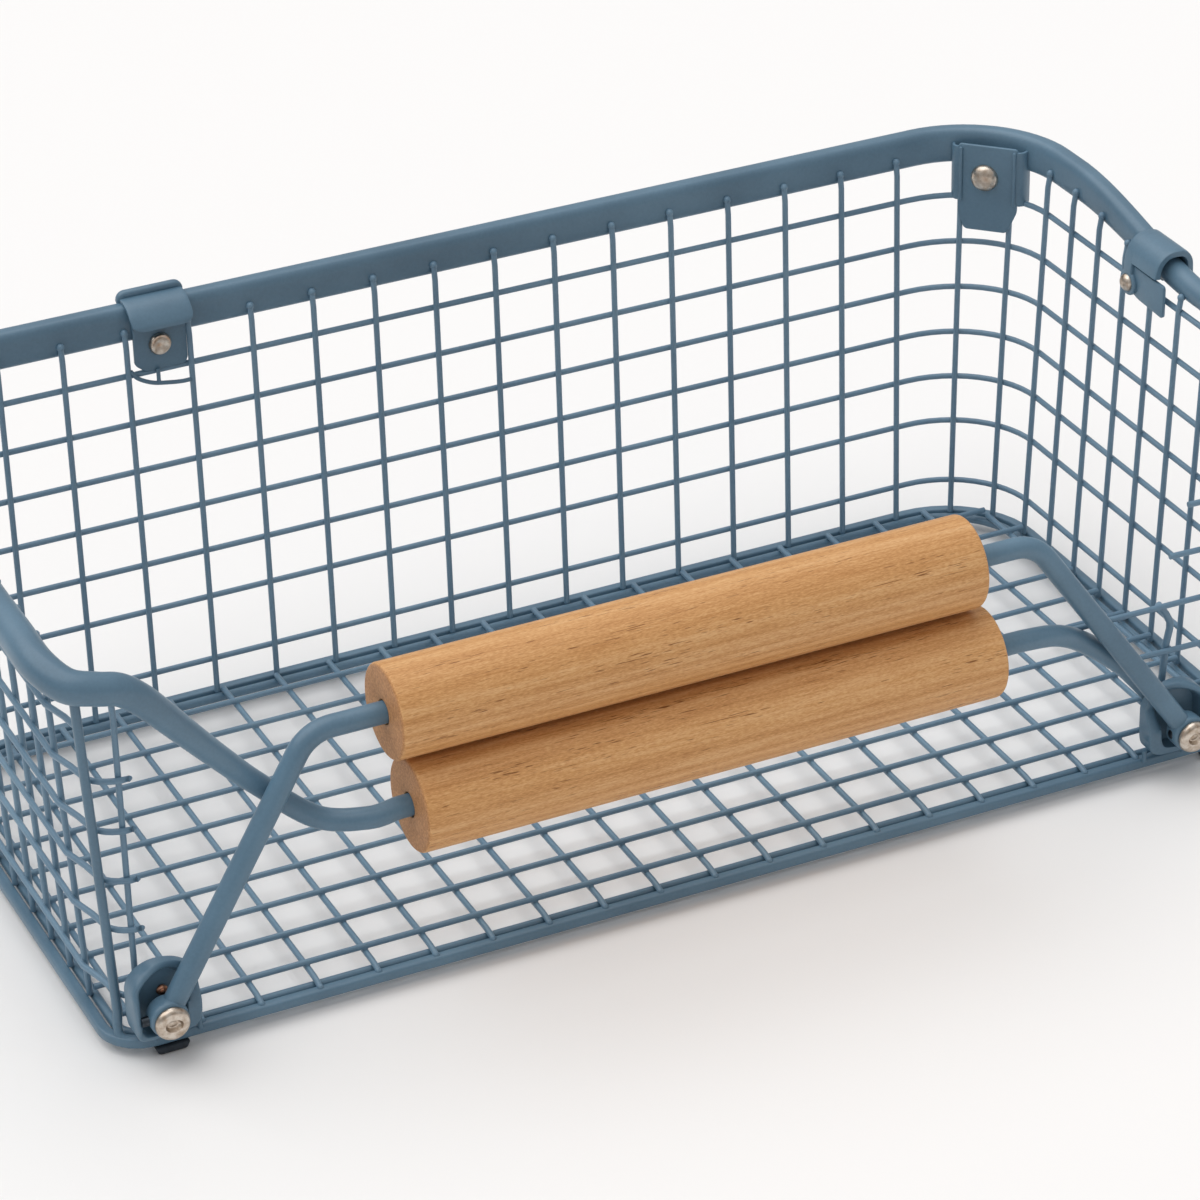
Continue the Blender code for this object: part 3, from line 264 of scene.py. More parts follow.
def block(size, place, edge, segments, taper=(1, 1, 1)):
    """A block round its place, tapered towards its underside, its edges rounded."""
    shape = bmesh.new()
    bmesh.ops.create_cube(shape, size=1)
    bmesh.ops.scale(shape, vec=size, verts=shape.verts[:])
    bmesh.ops.scale(shape, vec=taper, verts=[corner for corner in shape.verts if corner.co.z < 0])
    bmesh.ops.translate(shape, vec=place, verts=shape.verts[:])
    round_edges(shape, shape.edges[:], edge, segments)
    return shape


rubber = make_rubber()
for node_name, (x, y) in FOOT_PLACES.items():
    foot = block(FOOT_SIZE, (x, y, FOOT_SIZE[2] / 2), FOOT_EDGE, segments=4, taper=FOOT_TAPER)
    piece(node_name + "_pad", [foot], rubber, "rubber", "basket", node_name)

# Floor mesh: 2 mm wires welded at every crossing, the long ones lying on the cross wires.
# The cross wires run over the inner rod and end welded down on the strip.
WIRE = 0.0020
CROSS_PITCH = 0.0190
CROSS_COUNT = 10
LONG_PITCH = 0.0171
LONG_START = -0.0795
LONG_COUNT = 10
CROSS_HEIGHT = 0.0074
LONG_HEIGHT = 0.0091
CROSS_FRONT = ((-0.0800, 0.0074), (-0.0850, 0.0073), (-0.0880, 0.0069), (-0.0900, 0.0062))
FLOOR_CORNER = 0.0285
LONG_END = 0.1950
NUB = 0.0012


def beads(places, radius):
    """Small weld nubs, one at each place."""
    shape = bmesh.new()
    for place in places:
        turn = Matrix.Translation(place)
        bmesh.ops.create_uvsphere(shape, u_segments=8, v_segments=5, radius=radius, matrix=turn)
    return shape


def corner_reach(beyond):
    """How far a floor wire reaches into a rounded corner when it lies this far past the corner's centre."""
    return sqrt(max(FLOOR_CORNER * FLOOR_CORNER - beyond * beyond, 0.0))


cross_xs = [CROSS_PITCH * index for index in range(-CROSS_COUNT, CROSS_COUNT + 1)]
long_ys = [LONG_START + LONG_PITCH * index for index in range(LONG_COUNT)]
floor_paths = []
crossings = []
for x in cross_xs:
    back = BACK_ARC[1] + corner_reach(max(abs(x) - BACK_ARC[0], 0))
    floor_paths.append([(x, y, z) for y, z in ((back, CROSS_HEIGHT), (0, CROSS_HEIGHT), *CROSS_FRONT)])
    crossings += [Vector((x, y, (CROSS_HEIGHT + LONG_HEIGHT) / 2)) for y in long_ys if y < back - WIRE]
for y in long_ys:
    beyond = max(y - BACK_ARC[1], 0)
    end = BACK_ARC[0] + corner_reach(beyond) if beyond else LONG_END
    floor_paths.append([(-end, y, LONG_HEIGHT), (end, y, LONG_HEIGHT)])
stub_welds = [Vector((x, *CROSS_FRONT[-1])) for x in cross_xs]
floor_shapes = [wires(floor_paths, WIRE), beads(crossings, NUB), beads(stub_welds, NUB)]
piece("floor_wires", floor_shapes, wire_coat_painted_light, "powder_coat", "basket", "floor_mesh")

# Walls: upright wires welded to the inside of the rim and down on to the strip, and level wires outside them, each
# bent in one length round the basket. At the front left these pass inside the corner post and turn in a little way,
# and at the front right short lengths do the same.
ROWS = (0.0180, 0.0415, 0.0587, 0.0759, 0.0931, 0.1103, 0.1275)
RETURN_ROWS = 5
WALL_FOOT = 0.0060
FLARE_FOOT = 0.0067
RIM_HEIGHT = 0.1448
RIM_DIP = 0.0103
DIP_BACK, DIP_FRONT = 0.045, -0.035
END_FLARE, BACK_FLARE = 0.006, 0.002
BACK_PITCH = 0.0215
BACK_WIRES = 16
END_PITCH = 0.0170
END_WIRES = 8
END_START = -0.061
LEVEL_OFFSET = 0.0014
RETURN_OFFSET = -0.0021
NUB_DROP = 0.0019
KNEE_DROP, TIP_PROUD = 0.0048, 0.0008
TIP_NUB = 0.00136
RIM_INNER = 0.0013
RETURN_END = 0.1862
RETURN_UPRIGHT = 0.1888
RETURN_BENDS = ((0, 0, WALL_FOOT), (0, 0, 0.1120), (-0.0008, -0.0020, 0.1180), (-0.0020, -0.0050, 0.1230))
SHORT_ROW_Y, PASS_BEGINS_Y, PASS_ENDS_Y = -0.0790, -0.0720, -0.0630
RIGHT_END_Y = -0.0805
FRONT_RIGHT_BEGINS = (0.1600, 0.1450, 0.1190, 0.1640, 0.1700)
FRONT_SETBACK = 0.0016
BENT_UPRIGHT = (
    (0.1628, -0.0850, 0.0075), (0.1636, -0.0850, 0.0260), (0.1649, -0.0850, 0.0430), (0.1661, -0.0850, 0.0485),
    (0.1660, -0.0850, 0.0510), (0.1642, -0.0850, 0.0545), (0.1612, -0.0852, 0.0585),
)
BENT_DIAMETER = 0.0025
FRONT_RIGHT_END = 0.1990
FRONT_RIGHT_UPRIGHT = 0.186
CLIP_WIRE_Y = -0.010


def flare_share(height):
    return (height - FLARE_FOOT) / (RIM_HEIGHT - FLARE_FOOT)


def dip_share(y):
    """0 where the rim of an end is still level, 1 where it has come right down."""
    return min(1.0, max(0.0, (DIP_BACK - y) / (DIP_BACK - DIP_FRONT)))


def rim_height(y):
    share = dip_share(y)
    return RIM_HEIGHT - RIM_DIP * share * share * (3 - 2 * share)


def wall_point(angle, height, offset=0.0):
    """A point of a back corner's wall; angle 0 is at the end of the basket and 90 degrees at its back."""
    share = flare_share(height)
    x = BACK_ARC[0] + (BACK_ARC[2] + END_FLARE * share + offset) * cos(angle)
    y = BACK_ARC[1] + (BACK_ARC[2] + BACK_FLARE * share + offset) * sin(angle)
    return x, y


def upright(foot, head, outward):
    """An upright wire from the strip to the rim, its top bent out against the rim and ended in a nub."""
    foot, head = Vector(foot), Vector(head)
    knee = head - Z_AXIS * KNEE_DROP
    tip = head + outward * TIP_PROUD
    wall_paths.append([foot, knee, knee.lerp(tip, 0.5), tip])
    tips.append(tip)


wall_paths = []
tips = []
weld_places = []
back_top = RIM_HEIGHT - NUB_DROP
for index in range(BACK_WIRES):
    x = BACK_PITCH * (index - (BACK_WIRES - 1) / 2)
    head = (x, HALF_DEPTH + BACK_FLARE * flare_share(back_top), back_top)
    upright((x, HALF_DEPTH, WALL_FOOT), head, Y_AXIS)
    weld_places += [(x, HALF_DEPTH + BACK_FLARE * flare_share(z) + LEVEL_OFFSET / 2, z) for z in ROWS]
for side in (-1, 1):
    for angle in (pi / 6, pi / 3):
        outward = Vector((side * cos(angle), sin(angle), 0))
        low, high = wall_point(angle, WALL_FOOT), wall_point(angle, back_top)
        upright((side * low[0], low[1], WALL_FOOT), (side * high[0], high[1], back_top), outward)
        for z in ROWS:
            x, y = wall_point(angle, z, LEVEL_OFFSET / 2)
            weld_places.append((side * x, y, z))
    for index in range(END_WIRES):
        y = END_START + END_PITCH * index
        top = rim_height(y) - NUB_DROP
        if side > 0 and abs(y - CLIP_WIRE_Y) < WIRE:
            top = ROWS[-1] + WIRE
        low_x = side * HALF_LENGTH
        high_x = side * (HALF_LENGTH + END_FLARE * flare_share(top))
        upright((low_x, y, WALL_FOOT), (high_x, y, top), X_AXIS * side)
        for z in ROWS:
            weld_places.append((side * (HALF_LENGTH + END_FLARE * flare_share(z) + LEVEL_OFFSET / 2), y, z))
return_y = FRONT_ARC[1] - FRONT_ARC[2] - RETURN_OFFSET


def level_path(height, returns):
    """A level wire's route round the basket, from the front-left corner to the front-right post."""
    flare = END_FLARE * flare_share(height)
    side_x = HALF_LENGTH + flare
    path = []
    if returns:
        path.append((-RETURN_END, return_y, height))
        reach = FRONT_ARC[2] + RETURN_OFFSET
        for angle in reversed(quarter_turn(8)):
            x = -FRONT_ARC[0] - (reach + flare) * cos(angle)
            path.append((x, FRONT_ARC[1] - reach * sin(angle), height))
    else:
        path.append((-side_x - RETURN_OFFSET, SHORT_ROW_Y, height))
    path.append((-side_x - RETURN_OFFSET / 2, PASS_BEGINS_Y, height))
    path.append((-side_x - LEVEL_OFFSET, PASS_ENDS_Y, height))
    for side, angles in ((-1, quarter_turn(12)), (1, quarter_turn(12)[::-1])):
        for angle in angles:
            x, y = wall_point(angle, height, LEVEL_OFFSET)
            path.append((side * x, y, height))
    path.append((side_x + LEVEL_OFFSET, RIGHT_END_Y, height))
    return path


wall_paths += [level_path(z, index < RETURN_ROWS) for index, z in enumerate(ROWS)]
return_place = Vector((-RETURN_UPRIGHT, return_y + FRONT_SETBACK, 0))
wall_paths.append([return_place + Vector(bend) for bend in RETURN_BENDS])
for z, begin in zip(ROWS, FRONT_RIGHT_BEGINS):
    end = FRONT_RIGHT_END + END_FLARE * flare_share(z)
    wall_paths.append([(begin, -HALF_DEPTH + FRONT_SETBACK, z), (end, -HALF_DEPTH, z)])
top = ROWS[RETURN_ROWS - 1] + WIRE
wall_paths.append([(FRONT_RIGHT_UPRIGHT, -HALF_DEPTH + FRONT_SETBACK, z) for z in (WALL_FOOT, top)])
wall_shapes = [
    wires(wall_paths, WIRE), wires([BENT_UPRIGHT], BENT_DIAMETER), beads(weld_places, NUB), beads(tips, TIP_NUB),
]
piece(
    "wall_wires", wall_shapes, wire_coat_painted_light, "powder_coat", "basket", "back_mesh", "left_mesh", "right_mesh",
    "back_left_corner_mesh", "back_right_corner_mesh", "front_left_mesh", "front_right_mesh",
)

# Corner post: a 3 mm rod that stands on the outside of the level wires' bend, its top just under the rail and its
# foot turned into the base strip and welded to it.
POST_DIAMETER = 0.0030
POST_TOP = 0.1272
POST_LOW = 0.0135
POST_TURN = radians(33)
POST_REACH = 0.0104
POST_FOOT = (
    (-0.1957, -0.0846, 0.0092), (-0.1957, -0.0853, 0.0066), (-0.1948, -0.0868, 0.0053), (-0.1908, -0.0893, 0.0048),
)
post_path = []
for step in range(9):
    z = POST_TOP - (POST_TOP - POST_LOW) * step / 8
    x = -FRONT_ARC[0] - POST_REACH * cos(POST_TURN) - END_FLARE * flare_share(z)
    post_path.append((x, FRONT_ARC[1] - POST_REACH * sin(POST_TURN), z))
post_path += POST_FOOT
piece("corner_post", [wires([post_path], POST_DIAMETER)], powder_coat, "powder_coat", "basket", "front_left_post")

# Rim: one steel tube, flattened along the back and both ends so that it is 12 mm tall and 7.5 mm thick.
# Its right front end is bent down to the strip as a post, its left end goes into the front rail's socket.
RIM_TALL, RIM_THICK = 0.0124, 0.0075
RIM_POWER = 0.62
RIM_ROUND = 0.0080
RIM_BEND = 0.018
RIM_POST_Y = -0.0827
SOCKET_Y, AHEAD_Y = -0.004, -0.022
SOCKET_DIAMETER = 0.0106
RIM_TIP = (-0.0006, 0.0108)  # the rim's last two rings, before and inside the mouth of the socket
RIM_CORNER_RADIUS = 0.03705
RIM_END_X = 0.20696


def end_rim_x(height, thick):
    return HALF_LENGTH + END_FLARE * flare_share(height) + RIM_INNER + thick / 2


def end_rim_row(side, y):
    """The rim along an end: its centre, how tall and thick it is, and how square."""
    reach, room = (DIP_FRONT, RIM_ROUND) if side > 0 else (SOCKET_Y, SOCKET_DIAMETER)
    share = (DIP_BACK - y) / (DIP_BACK - reach)
    tall = RIM_TALL + (RIM_ROUND - RIM_TALL) * share
    thick = RIM_THICK + (RIM_ROUND - RIM_THICK) * share
    room = RIM_THICK + (room - RIM_THICK) * share
    return (side * end_rim_x(rim_height(y), room), y, rim_height(y)), tall, thick, RIM_POWER + (1 - RIM_POWER) * share


def rim_corner(angle):
    x = RIM_END_X - RIM_CORNER_RADIUS + RIM_CORNER_RADIUS * cos(angle)
    return x, BACK_ARC[1] + RIM_CORNER_RADIUS * sin(angle)


low_rim = RIM_HEIGHT - RIM_DIP
foot_x, top_x = HALF_LENGTH + STRIP_OFFSET, end_rim_x(low_rim, RIM_ROUND)
rim_rows = [((foot_x, RIM_POST_Y, WALL_FOOT), RIM_ROUND, RIM_ROUND, 1)]
for angle in quarter_turn(12):
    z = low_rim - RIM_BEND * (1 - sin(angle))
    place = (foot_x + (top_x - foot_x) * z / low_rim, RIM_POST_Y + RIM_BEND * (1 - cos(angle)), z)
    rim_rows.append((place, RIM_ROUND, RIM_ROUND, 1))
depths = [DIP_FRONT + (DIP_BACK - DIP_FRONT) * step / 20 for step in range(21)]
rim_rows += [end_rim_row(1, y) for y in depths]
for side, angles in ((1, quarter_turn(16)), (-1, quarter_turn(16)[::-1])):
    for x, y in map(rim_corner, angles):
        rim_rows.append(((side * x, y, RIM_HEIGHT), RIM_TALL, RIM_THICK, RIM_POWER))
rim_rows += [end_rim_row(-1, y) for y in reversed(depths) if y > SOCKET_Y + WIRE]
socket_x = -end_rim_x(rim_height(SOCKET_Y), SOCKET_DIAMETER)
mouth, ahead = [Vector((socket_x, y, rim_height(y))) for y in (SOCKET_Y, AHEAD_Y)]
socket_way = (ahead - mouth).normalized()
rim_rows += [(mouth + socket_way * along, RIM_ROUND, RIM_ROUND, 1) for along in RIM_TIP]
rim = tube(rim_rows, sides=40, side=X_AXIS)
piece("rim_flattened_tube", [rim], powder_coat, "powder_coat", "basket", "rim_tube", sharp=60)

# Front rail: a heavier tube that takes the rim's end, turned round the corner, stepped down and drawn thin.
# It runs through the lower grip and down behind the bail's right arm to a flattened, drilled tab.
# Each row below is a place along the rail, and how tall and how thick the rail is there.
RAIL = 0.0070
RAIL_LEFT = (
    (-0.2083, -0.0400, 0.1345, 0.0108, 0.0108),
    (-0.2083, -0.0620, 0.1345, 0.0108, 0.0108),
    (-0.2079, -0.0790, 0.1335, 0.0107, 0.0107),
    (-0.2034, -0.0895, 0.1309, 0.0104, 0.0104),
    (-0.1956, -0.0925, 0.1292, 0.0100, 0.0100),
    (-0.1892, -0.0925, 0.1273, 0.0098, 0.0098),
    (-0.1832, -0.0915, 0.1224, 0.0096, 0.0096),
    (-0.1763, -0.0895, 0.1143, 0.0091, 0.0091),
    (-0.1665, -0.0865, 0.1020, 0.0083, 0.0083),
    (-0.1565, -0.0840, 0.0899, 0.0076, 0.0076),
    (-0.1460, -0.0828, 0.0782, 0.0071, 0.0071),
    (-0.1300, -0.0872, 0.0646, RAIL, RAIL),
    (-0.1160, -0.0932, 0.0634, RAIL, RAIL),
)
RAIL_RIGHT = (
    (0.1080, -0.0942, 0.0645, RAIL, RAIL),
    (0.1200, -0.0926, 0.0619, RAIL, RAIL),
    (0.1325, -0.0887, 0.0538, RAIL, RAIL),
    (0.1470, -0.0858, 0.0412, RAIL, RAIL),
    (0.1550, -0.0856, 0.0322, 0.0070, 0.0058),
    (0.1594, -0.0866, 0.0266, 0.0074, 0.0036),
    (0.1635, -0.0877, 0.0228, 0.0080, 0.0021),
)
LOWER_GRIP = (-0.005, -0.09416, 0.06472)
RAIL_STRAIGHT = 0.101
TAB_DISC = (0.0060, 0.00125, 0.0006)
TAB_PLACE = (0.1655, -0.08775, 0.0222)
SOCKET_LIP = ((0, 0.0092), (0.0002, 0.0101), (0.0007, 0.0106), (0.0016, SOCKET_DIAMETER))


def smooth_rows(rows, per_span):
    """Rows of numbers read from a smooth curve through the given rows."""
    rows = [Vector(row) for row in rows]
    padded = [2 * rows[0] - rows[1], *rows, 2 * rows[-1] - rows[-2]]
    found = []
    for a, b, c, d in zip(padded, padded[1:], padded[2:], padded[3:]):
        for step in range(per_span):
            t = step / per_span
            bend = (2 * a - 5 * b + 4 * c - d) * t**2 + (3 * b - a - 3 * c + d) * t**3
            found.append((2 * b + (c - a) * t + bend) / 2)
    return [*found, rows[-1]]


def turned(profile, place, axis, steps):
    """A turned shape: profile is (radius, distance along the axis), from pole to pole or round a bore."""
    shape = bmesh.new()
    corners = [shape.verts.new((radius, 0, height)) for radius, height in profile]
    for pair in zip(corners, corners[1:]):
        shape.edges.new(pair)
    geom = [*shape.verts, *shape.edges]
    bmesh.ops.spin(shape, geom=geom, cent=(0, 0, 0), axis=Z_AXIS, angle=2 * pi, steps=steps, use_merge=True)
    bmesh.ops.remove_doubles(shape, verts=shape.verts[:], dist=SAME_PLACE)
    turn = Matrix.Translation(Vector(place)) @ Z_AXIS.rotation_difference(Vector(axis)).to_matrix().to_4x4()
    bmesh.ops.transform(shape, matrix=turn, verts=shape.verts[:])
    return shape


def disc_profile(radius, half, edge):
    """A disc with rounded edges, from its top centre to its bottom centre."""
    upper = [(radius - edge + edge * sin(angle), half - edge + edge * cos(angle)) for angle in quarter_turn(4)]
    return [(0, half), *upper, *[(r, -h) for r, h in reversed(upper)], (0, -half)]


grip_ends = [(LOWER_GRIP[0] + side * RAIL_STRAIGHT, *LOWER_GRIP[1:], RAIL, RAIL) for side in (-1, 1)]
rail_numbers = [(*(mouth + socket_way * distance), diameter, diameter) for distance, diameter in SOCKET_LIP]
rail_numbers += smooth_rows([(*ahead, SOCKET_DIAMETER, SOCKET_DIAMETER), *RAIL_LEFT, grip_ends[0]], per_span=8)
rail_numbers += smooth_rows([grip_ends[1], *RAIL_RIGHT], per_span=8)
rail = tube([(row[:3], row[3], row[4], 1) for row in rail_numbers], sides=32)
tab = turned(disc_profile(*TAB_DISC), TAB_PLACE, Y_AXIS, steps=40)
piece("front_rail_tube", [rail, tab], powder_coat, "powder_coat", "basket", "front_rail", sharp=60)

# Grips: two beech cylinders turned from straight-grained plank, their edges eased, bored through and oiled.
# They sit loose on the rail and on the bail.
GRIP_LENGTH = 0.196
GRIP_RADIUS = 0.015
GRIP_EASE = 0.0012
GRIP_BORE = 0.0039
BORE_EASE = 0.0004
UPPER_GRIP = (-0.0095, -0.08877, 0.09512)
LOWER_PITH, UPPER_PITH = (0.0, 0.142, -0.095), (0.01, 0.120, -0.148)
RING_WIDTH = 0.0019


def grain_noise(tree, place, scale, detail):
    """Noise stretched along the grip, which is along the grain; scale is how often it repeats in a metre."""
    stretched = add_node(tree, "Mapping", {"Vector": place, "Scale": scale})
    noise = add_node(tree, "TexNoise", {"Vector": stretched.outputs["Vector"], "Scale": 1.0, "Detail": detail})
    return noise.outputs["Fac"]


def make_beech(name, pith):
    """Oiled beech: growth rings 2 mm wide round a pith well outside the grip, dark pores up to 6 mm long and 0.3 mm
    wide in loose groups, fibre flecks 1.4 mm long, and browner, mottled end grain where the bore opens."""
    material, tree, shader, place = new_material(name, Specular_IOR_Level=0.34)
    shifted = add_node(tree, "Mapping", {"Vector": place, "Location": pith, "Scale": (0.035, 1, 1)})
    wander = add_node(tree, "TexNoise", {"Vector": shifted.outputs["Vector"], "Scale": 60.0, "Detail": 2.0})
    distance = add_node(tree, "VectorMath", {0: shifted.outputs["Vector"]}, operation="LENGTH")
    waved = add_node(tree, "Math", {0: wander.outputs["Fac"], 1: 0.006, 2: distance.outputs["Value"]},
                     operation="MULTIPLY_ADD")
    ring = add_node(tree, "Math", {0: waved.outputs["Value"], 1: RING_WIDTH}, operation="PINGPONG")
    band = add_node(tree, "MapRange", {"Value": ring.outputs["Value"], "From Max": RING_WIDTH})
    streak = grain_noise(tree, place, (55, 1300, 1300), 3.0)
    fleck = grain_noise(tree, place, (700, 3400, 3400), 2.0)
    tone = add_node(tree, "Math", {0: streak, 1: 0.40}, operation="MULTIPLY")
    speckled = add_node(tree, "Math", {0: fleck, 1: 0.38, 2: tone.outputs["Value"]}, operation="MULTIPLY_ADD")
    toned = add_node(tree, "Math", {0: band.outputs["Result"], 1: 0.13, 2: speckled.outputs["Value"]},
                     operation="MULTIPLY_ADD")
    ramp = add_node(tree, "ValToRGB", {"Fac": toned.outputs["Value"]})
    stops = ramp.color_ramp.elements
    stops[0].position, stops[0].color = 0.30, linear("BA834C")
    stops[1].position, stops[1].color = 0.62, linear("DCAE7B")
    stops.new(0.46).color = linear("CE9A63")
    pores = grain_noise(tree, place, (170, 3000, 3000), 1.0)
    gate = grain_noise(tree, place, (22, 300, 300), 1.0)
    pore_sum = add_node(tree, "Math", {0: gate, 1: 0.55, 2: pores}, operation="MULTIPLY_ADD")
    pore = add_node(tree, "MapRange", {"Value": pore_sum.outputs["Value"], "From Min": 0.975, "From Max": 1.06})
    facing = add_node(tree, "SeparateXYZ", {"Vector": add_node(tree, "TexCoord").outputs["Normal"]})
    sideways = add_node(tree, "Math", {0: facing.outputs["X"]}, operation="ABSOLUTE")
    end_grain = add_node(tree, "MapRange", {"Value": sideways.outputs["Value"], "From Min": 0.55, "From Max": 0.85})
    end_colour = patches(tree, place, (0.32, "A47247"), (0.68, "C99566"), Scale=1500.0, Detail=3.0)[1]
    flecked = add_node(tree, "MixRGB", {"Fac": 0.16, "Color1": ramp.outputs["Color"], "Color2": fleck},
                       blend_type="OVERLAY")
    pored = add_node(tree, "MixRGB", {"Fac": pore.outputs["Result"], "Color1": flecked.outputs["Color"],
                                      "Color2": linear("84552B")})
    both = add_node(tree, "MixRGB", {"Fac": end_grain.outputs["Result"], "Color1": pored.outputs["Color"],
                                     "Color2": end_colour})
    relief = add_node(tree, "Math", {0: pore.outputs["Result"], 1: -0.8, 2: fleck}, operation="MULTIPLY_ADD")
    relief = (relief.outputs["Value"], 0.35, 0.00012)
    set_surface(tree, shader, both.outputs["Color"], relief, (streak, 0.42, 0.58))
    return material


def grip(name, place, pith, body, node_name):
    """A turned grip, eased at its ends and at the mouths of its bore."""
    half = GRIP_LENGTH / 2
    angles = quarter_turn(6)
    lip = [(GRIP_BORE + BORE_EASE * (1 - sin(a)), half - BORE_EASE * (1 - cos(a))) for a in reversed(angles)]
    outer = [(GRIP_RADIUS - GRIP_EASE * (1 - sin(a)), half - GRIP_EASE * (1 - cos(a))) for a in angles]
    upper = [*lip, *outer]
    profile = [*upper, *[(radius, -height) for radius, height in reversed(upper)]]
    shape = turned([*profile, profile[0]], place, X_AXIS, steps=96)
    piece(name, [shape], make_beech("oiled_beech_" + body, pith), "beech", body, node_name, sharp=30)


grip("lower_wooden_grip", LOWER_GRIP, LOWER_PITH, "front_grip", "front_grip")
grip("upper_wooden_grip", UPPER_GRIP, UPPER_PITH, "bail_grip", "bail_grip")

# Bail: a 7 mm rod bent to a wide arch, each foot forged to an eye that turns on the hinge pin.
# It stands leaning a little back, with the upper grip on its top run.
HANDLE_X = -0.0095
HALF_SPAN = 0.175
PIVOT_Y = -0.0983
PIVOT_Z = 0.0175
BAIL_REACH = 0.0782
BAIL_HALF_TOP = 0.122
BAIL_BEND = 0.014
BAIL_LEAN = radians(7)
BOSS_DISC = (0.0060, 0.0035, 0.0016)
SIDES = ((-1, "left", HANDLE_X - HALF_SPAN), (1, "right", HANDLE_X + HALF_SPAN))


def rounded(corners, radius, steps=10):
    """Straight runs between the corners, each corner filleted with an arc."""
    corners = [Vector(corner) for corner in corners]
    points = [corners[0]]
    for before, corner, after in zip(corners, corners[1:], corners[2:]):
        back, onward = (before - corner).normalized(), (after - corner).normalized()
        half = back.angle(onward) / 2
        reach = radius * cos(half) / sin(half)
        centre = corner + (back + onward).normalized() * (radius / sin(half))
        first, last = corner + back * reach - centre, corner + onward * reach - centre
        for step in range(steps + 1):
            points.append(centre + first.slerp(last, step / steps).normalized() * radius)
    return [*points, corners[-1]]


def bail_point(x, reach):
    return Vector((HANDLE_X + x, PIVOT_Y + reach * sin(BAIL_LEAN), PIVOT_Z + reach * cos(BAIL_LEAN)))


bail_corners = [(-HALF_SPAN, 0), (-BAIL_HALF_TOP, BAIL_REACH), (BAIL_HALF_TOP, BAIL_REACH), (HALF_SPAN, 0)]
bail_path = rounded([bail_point(*corner) for corner in bail_corners], BAIL_BEND)
bail_shapes = [tube([(place, RAIL, RAIL, 1) for place in bail_path], sides=32)]
for side, name, pivot_x in SIDES:
    bail_shapes.append(turned(disc_profile(*BOSS_DISC), (pivot_x, PIVOT_Y, PIVOT_Z), Y_AXIS, steps=48))
piece("bail_rod", bail_shapes, powder_coat, "powder_coat", "bail", "bail", sharp=60)

# Pivot caps: nickel-plated steel rivet heads set on the front of the bail's feet, with a rolled rim round a
# shallow dish and a raised centre.
CAP_FACE = 0.0038
CAP_PROFILE = (
    (0, 0.0012), (0.0010, 0.0012), (0.0014, 0.0010), (0.0019, 0.0011), (0.0024, 0.0017), (0.0028, 0.0025),
    (0.0033, 0.00255), (0.0039, 0.0025), (0.0044, 0.0024), (0.0049, 0.0020), (0.0053, 0.0014), (0.0055, 0.0007),
    (0.0053, 0.0002), (0.0049, 0), (0.0025, 0), (0.0025, -0.0010), (0, -0.0010),
)
DIMPLE_RADIUS = 0.0031
DIMPLE_SQUASH = 0.74


def make_nickel(name, tarnished, bright):
    """Old nickel plate: warm, softly reflective, with brown tarnish in patches of about 2.4 mm.

    In dark tones it is the plain steel of the hinge pins, painted near black: painted shade, so the pins read as the
    recess's shadow.
    """
    material, tree, shader, place = new_material(name, Metallic=1.0)
    stops = ((0.34, tarnished), (0.62, bright))
    tarnish, colour = patches(tree, place, *stops, Scale=420.0, Detail=4.0, Roughness=0.6)
    set_surface(tree, shader, colour, (tarnish, 0.12, 0.0001), (tarnish, 0.26, 0.36))
    return material


nickel = make_nickel("worn_nickel", "AA9886", "D6CCC0")
for side, name, pivot_x in SIDES:
    cap = turned(CAP_PROFILE, (pivot_x, PIVOT_Y - CAP_FACE, PIVOT_Z), -Y_AXIS, steps=64)
    for corner in cap.verts:
        across, rise = corner.co.x - pivot_x, corner.co.z - PIVOT_Z
        if across * across + rise * rise < DIMPLE_RADIUS * DIMPLE_RADIUS:
            corner.co.z = PIVOT_Z + rise * DIMPLE_SQUASH
    piece(name + "_rivet_cap", [cap], nickel, "nickel", "bail", name + "_pivot_cap")

# Corner plates: deep-drawn sheet steel, one at each foot of the bail. The rim is rolled round the outer side and
# the arched top, the lower and inner face is flat, and the bail's foot turns in the recess between them.
PLATE_INNER, PLATE_OUTER = 0.0121, 0.0097
PLATE_CROWN, PLATE_ARCH = 0.0066, 0.0084
PLATE_BELOW = 0.0088
PLATE_MIDDLE = 0.0040
PLATE_BACK = -0.0893
PLATE_POWER = 0.34
PLATE_FLOOR = 0.0015
RECESS_INNER, RECESS_OUTER, RECESS_ABOVE, RECESS_BELOW = 0.0075, 0.0067, 0.0120, 0.0067
RECESS_SHARES = (
    RECESS_INNER / PLATE_INNER,
    RECESS_OUTER / PLATE_OUTER,
    (RECESS_ABOVE - PLATE_MIDDLE) / (PLATE_CROWN + PLATE_ARCH - PLATE_MIDDLE),
    (RECESS_BELOW + PLATE_MIDDLE) / (PLATE_BELOW + PLATE_MIDDLE),
)
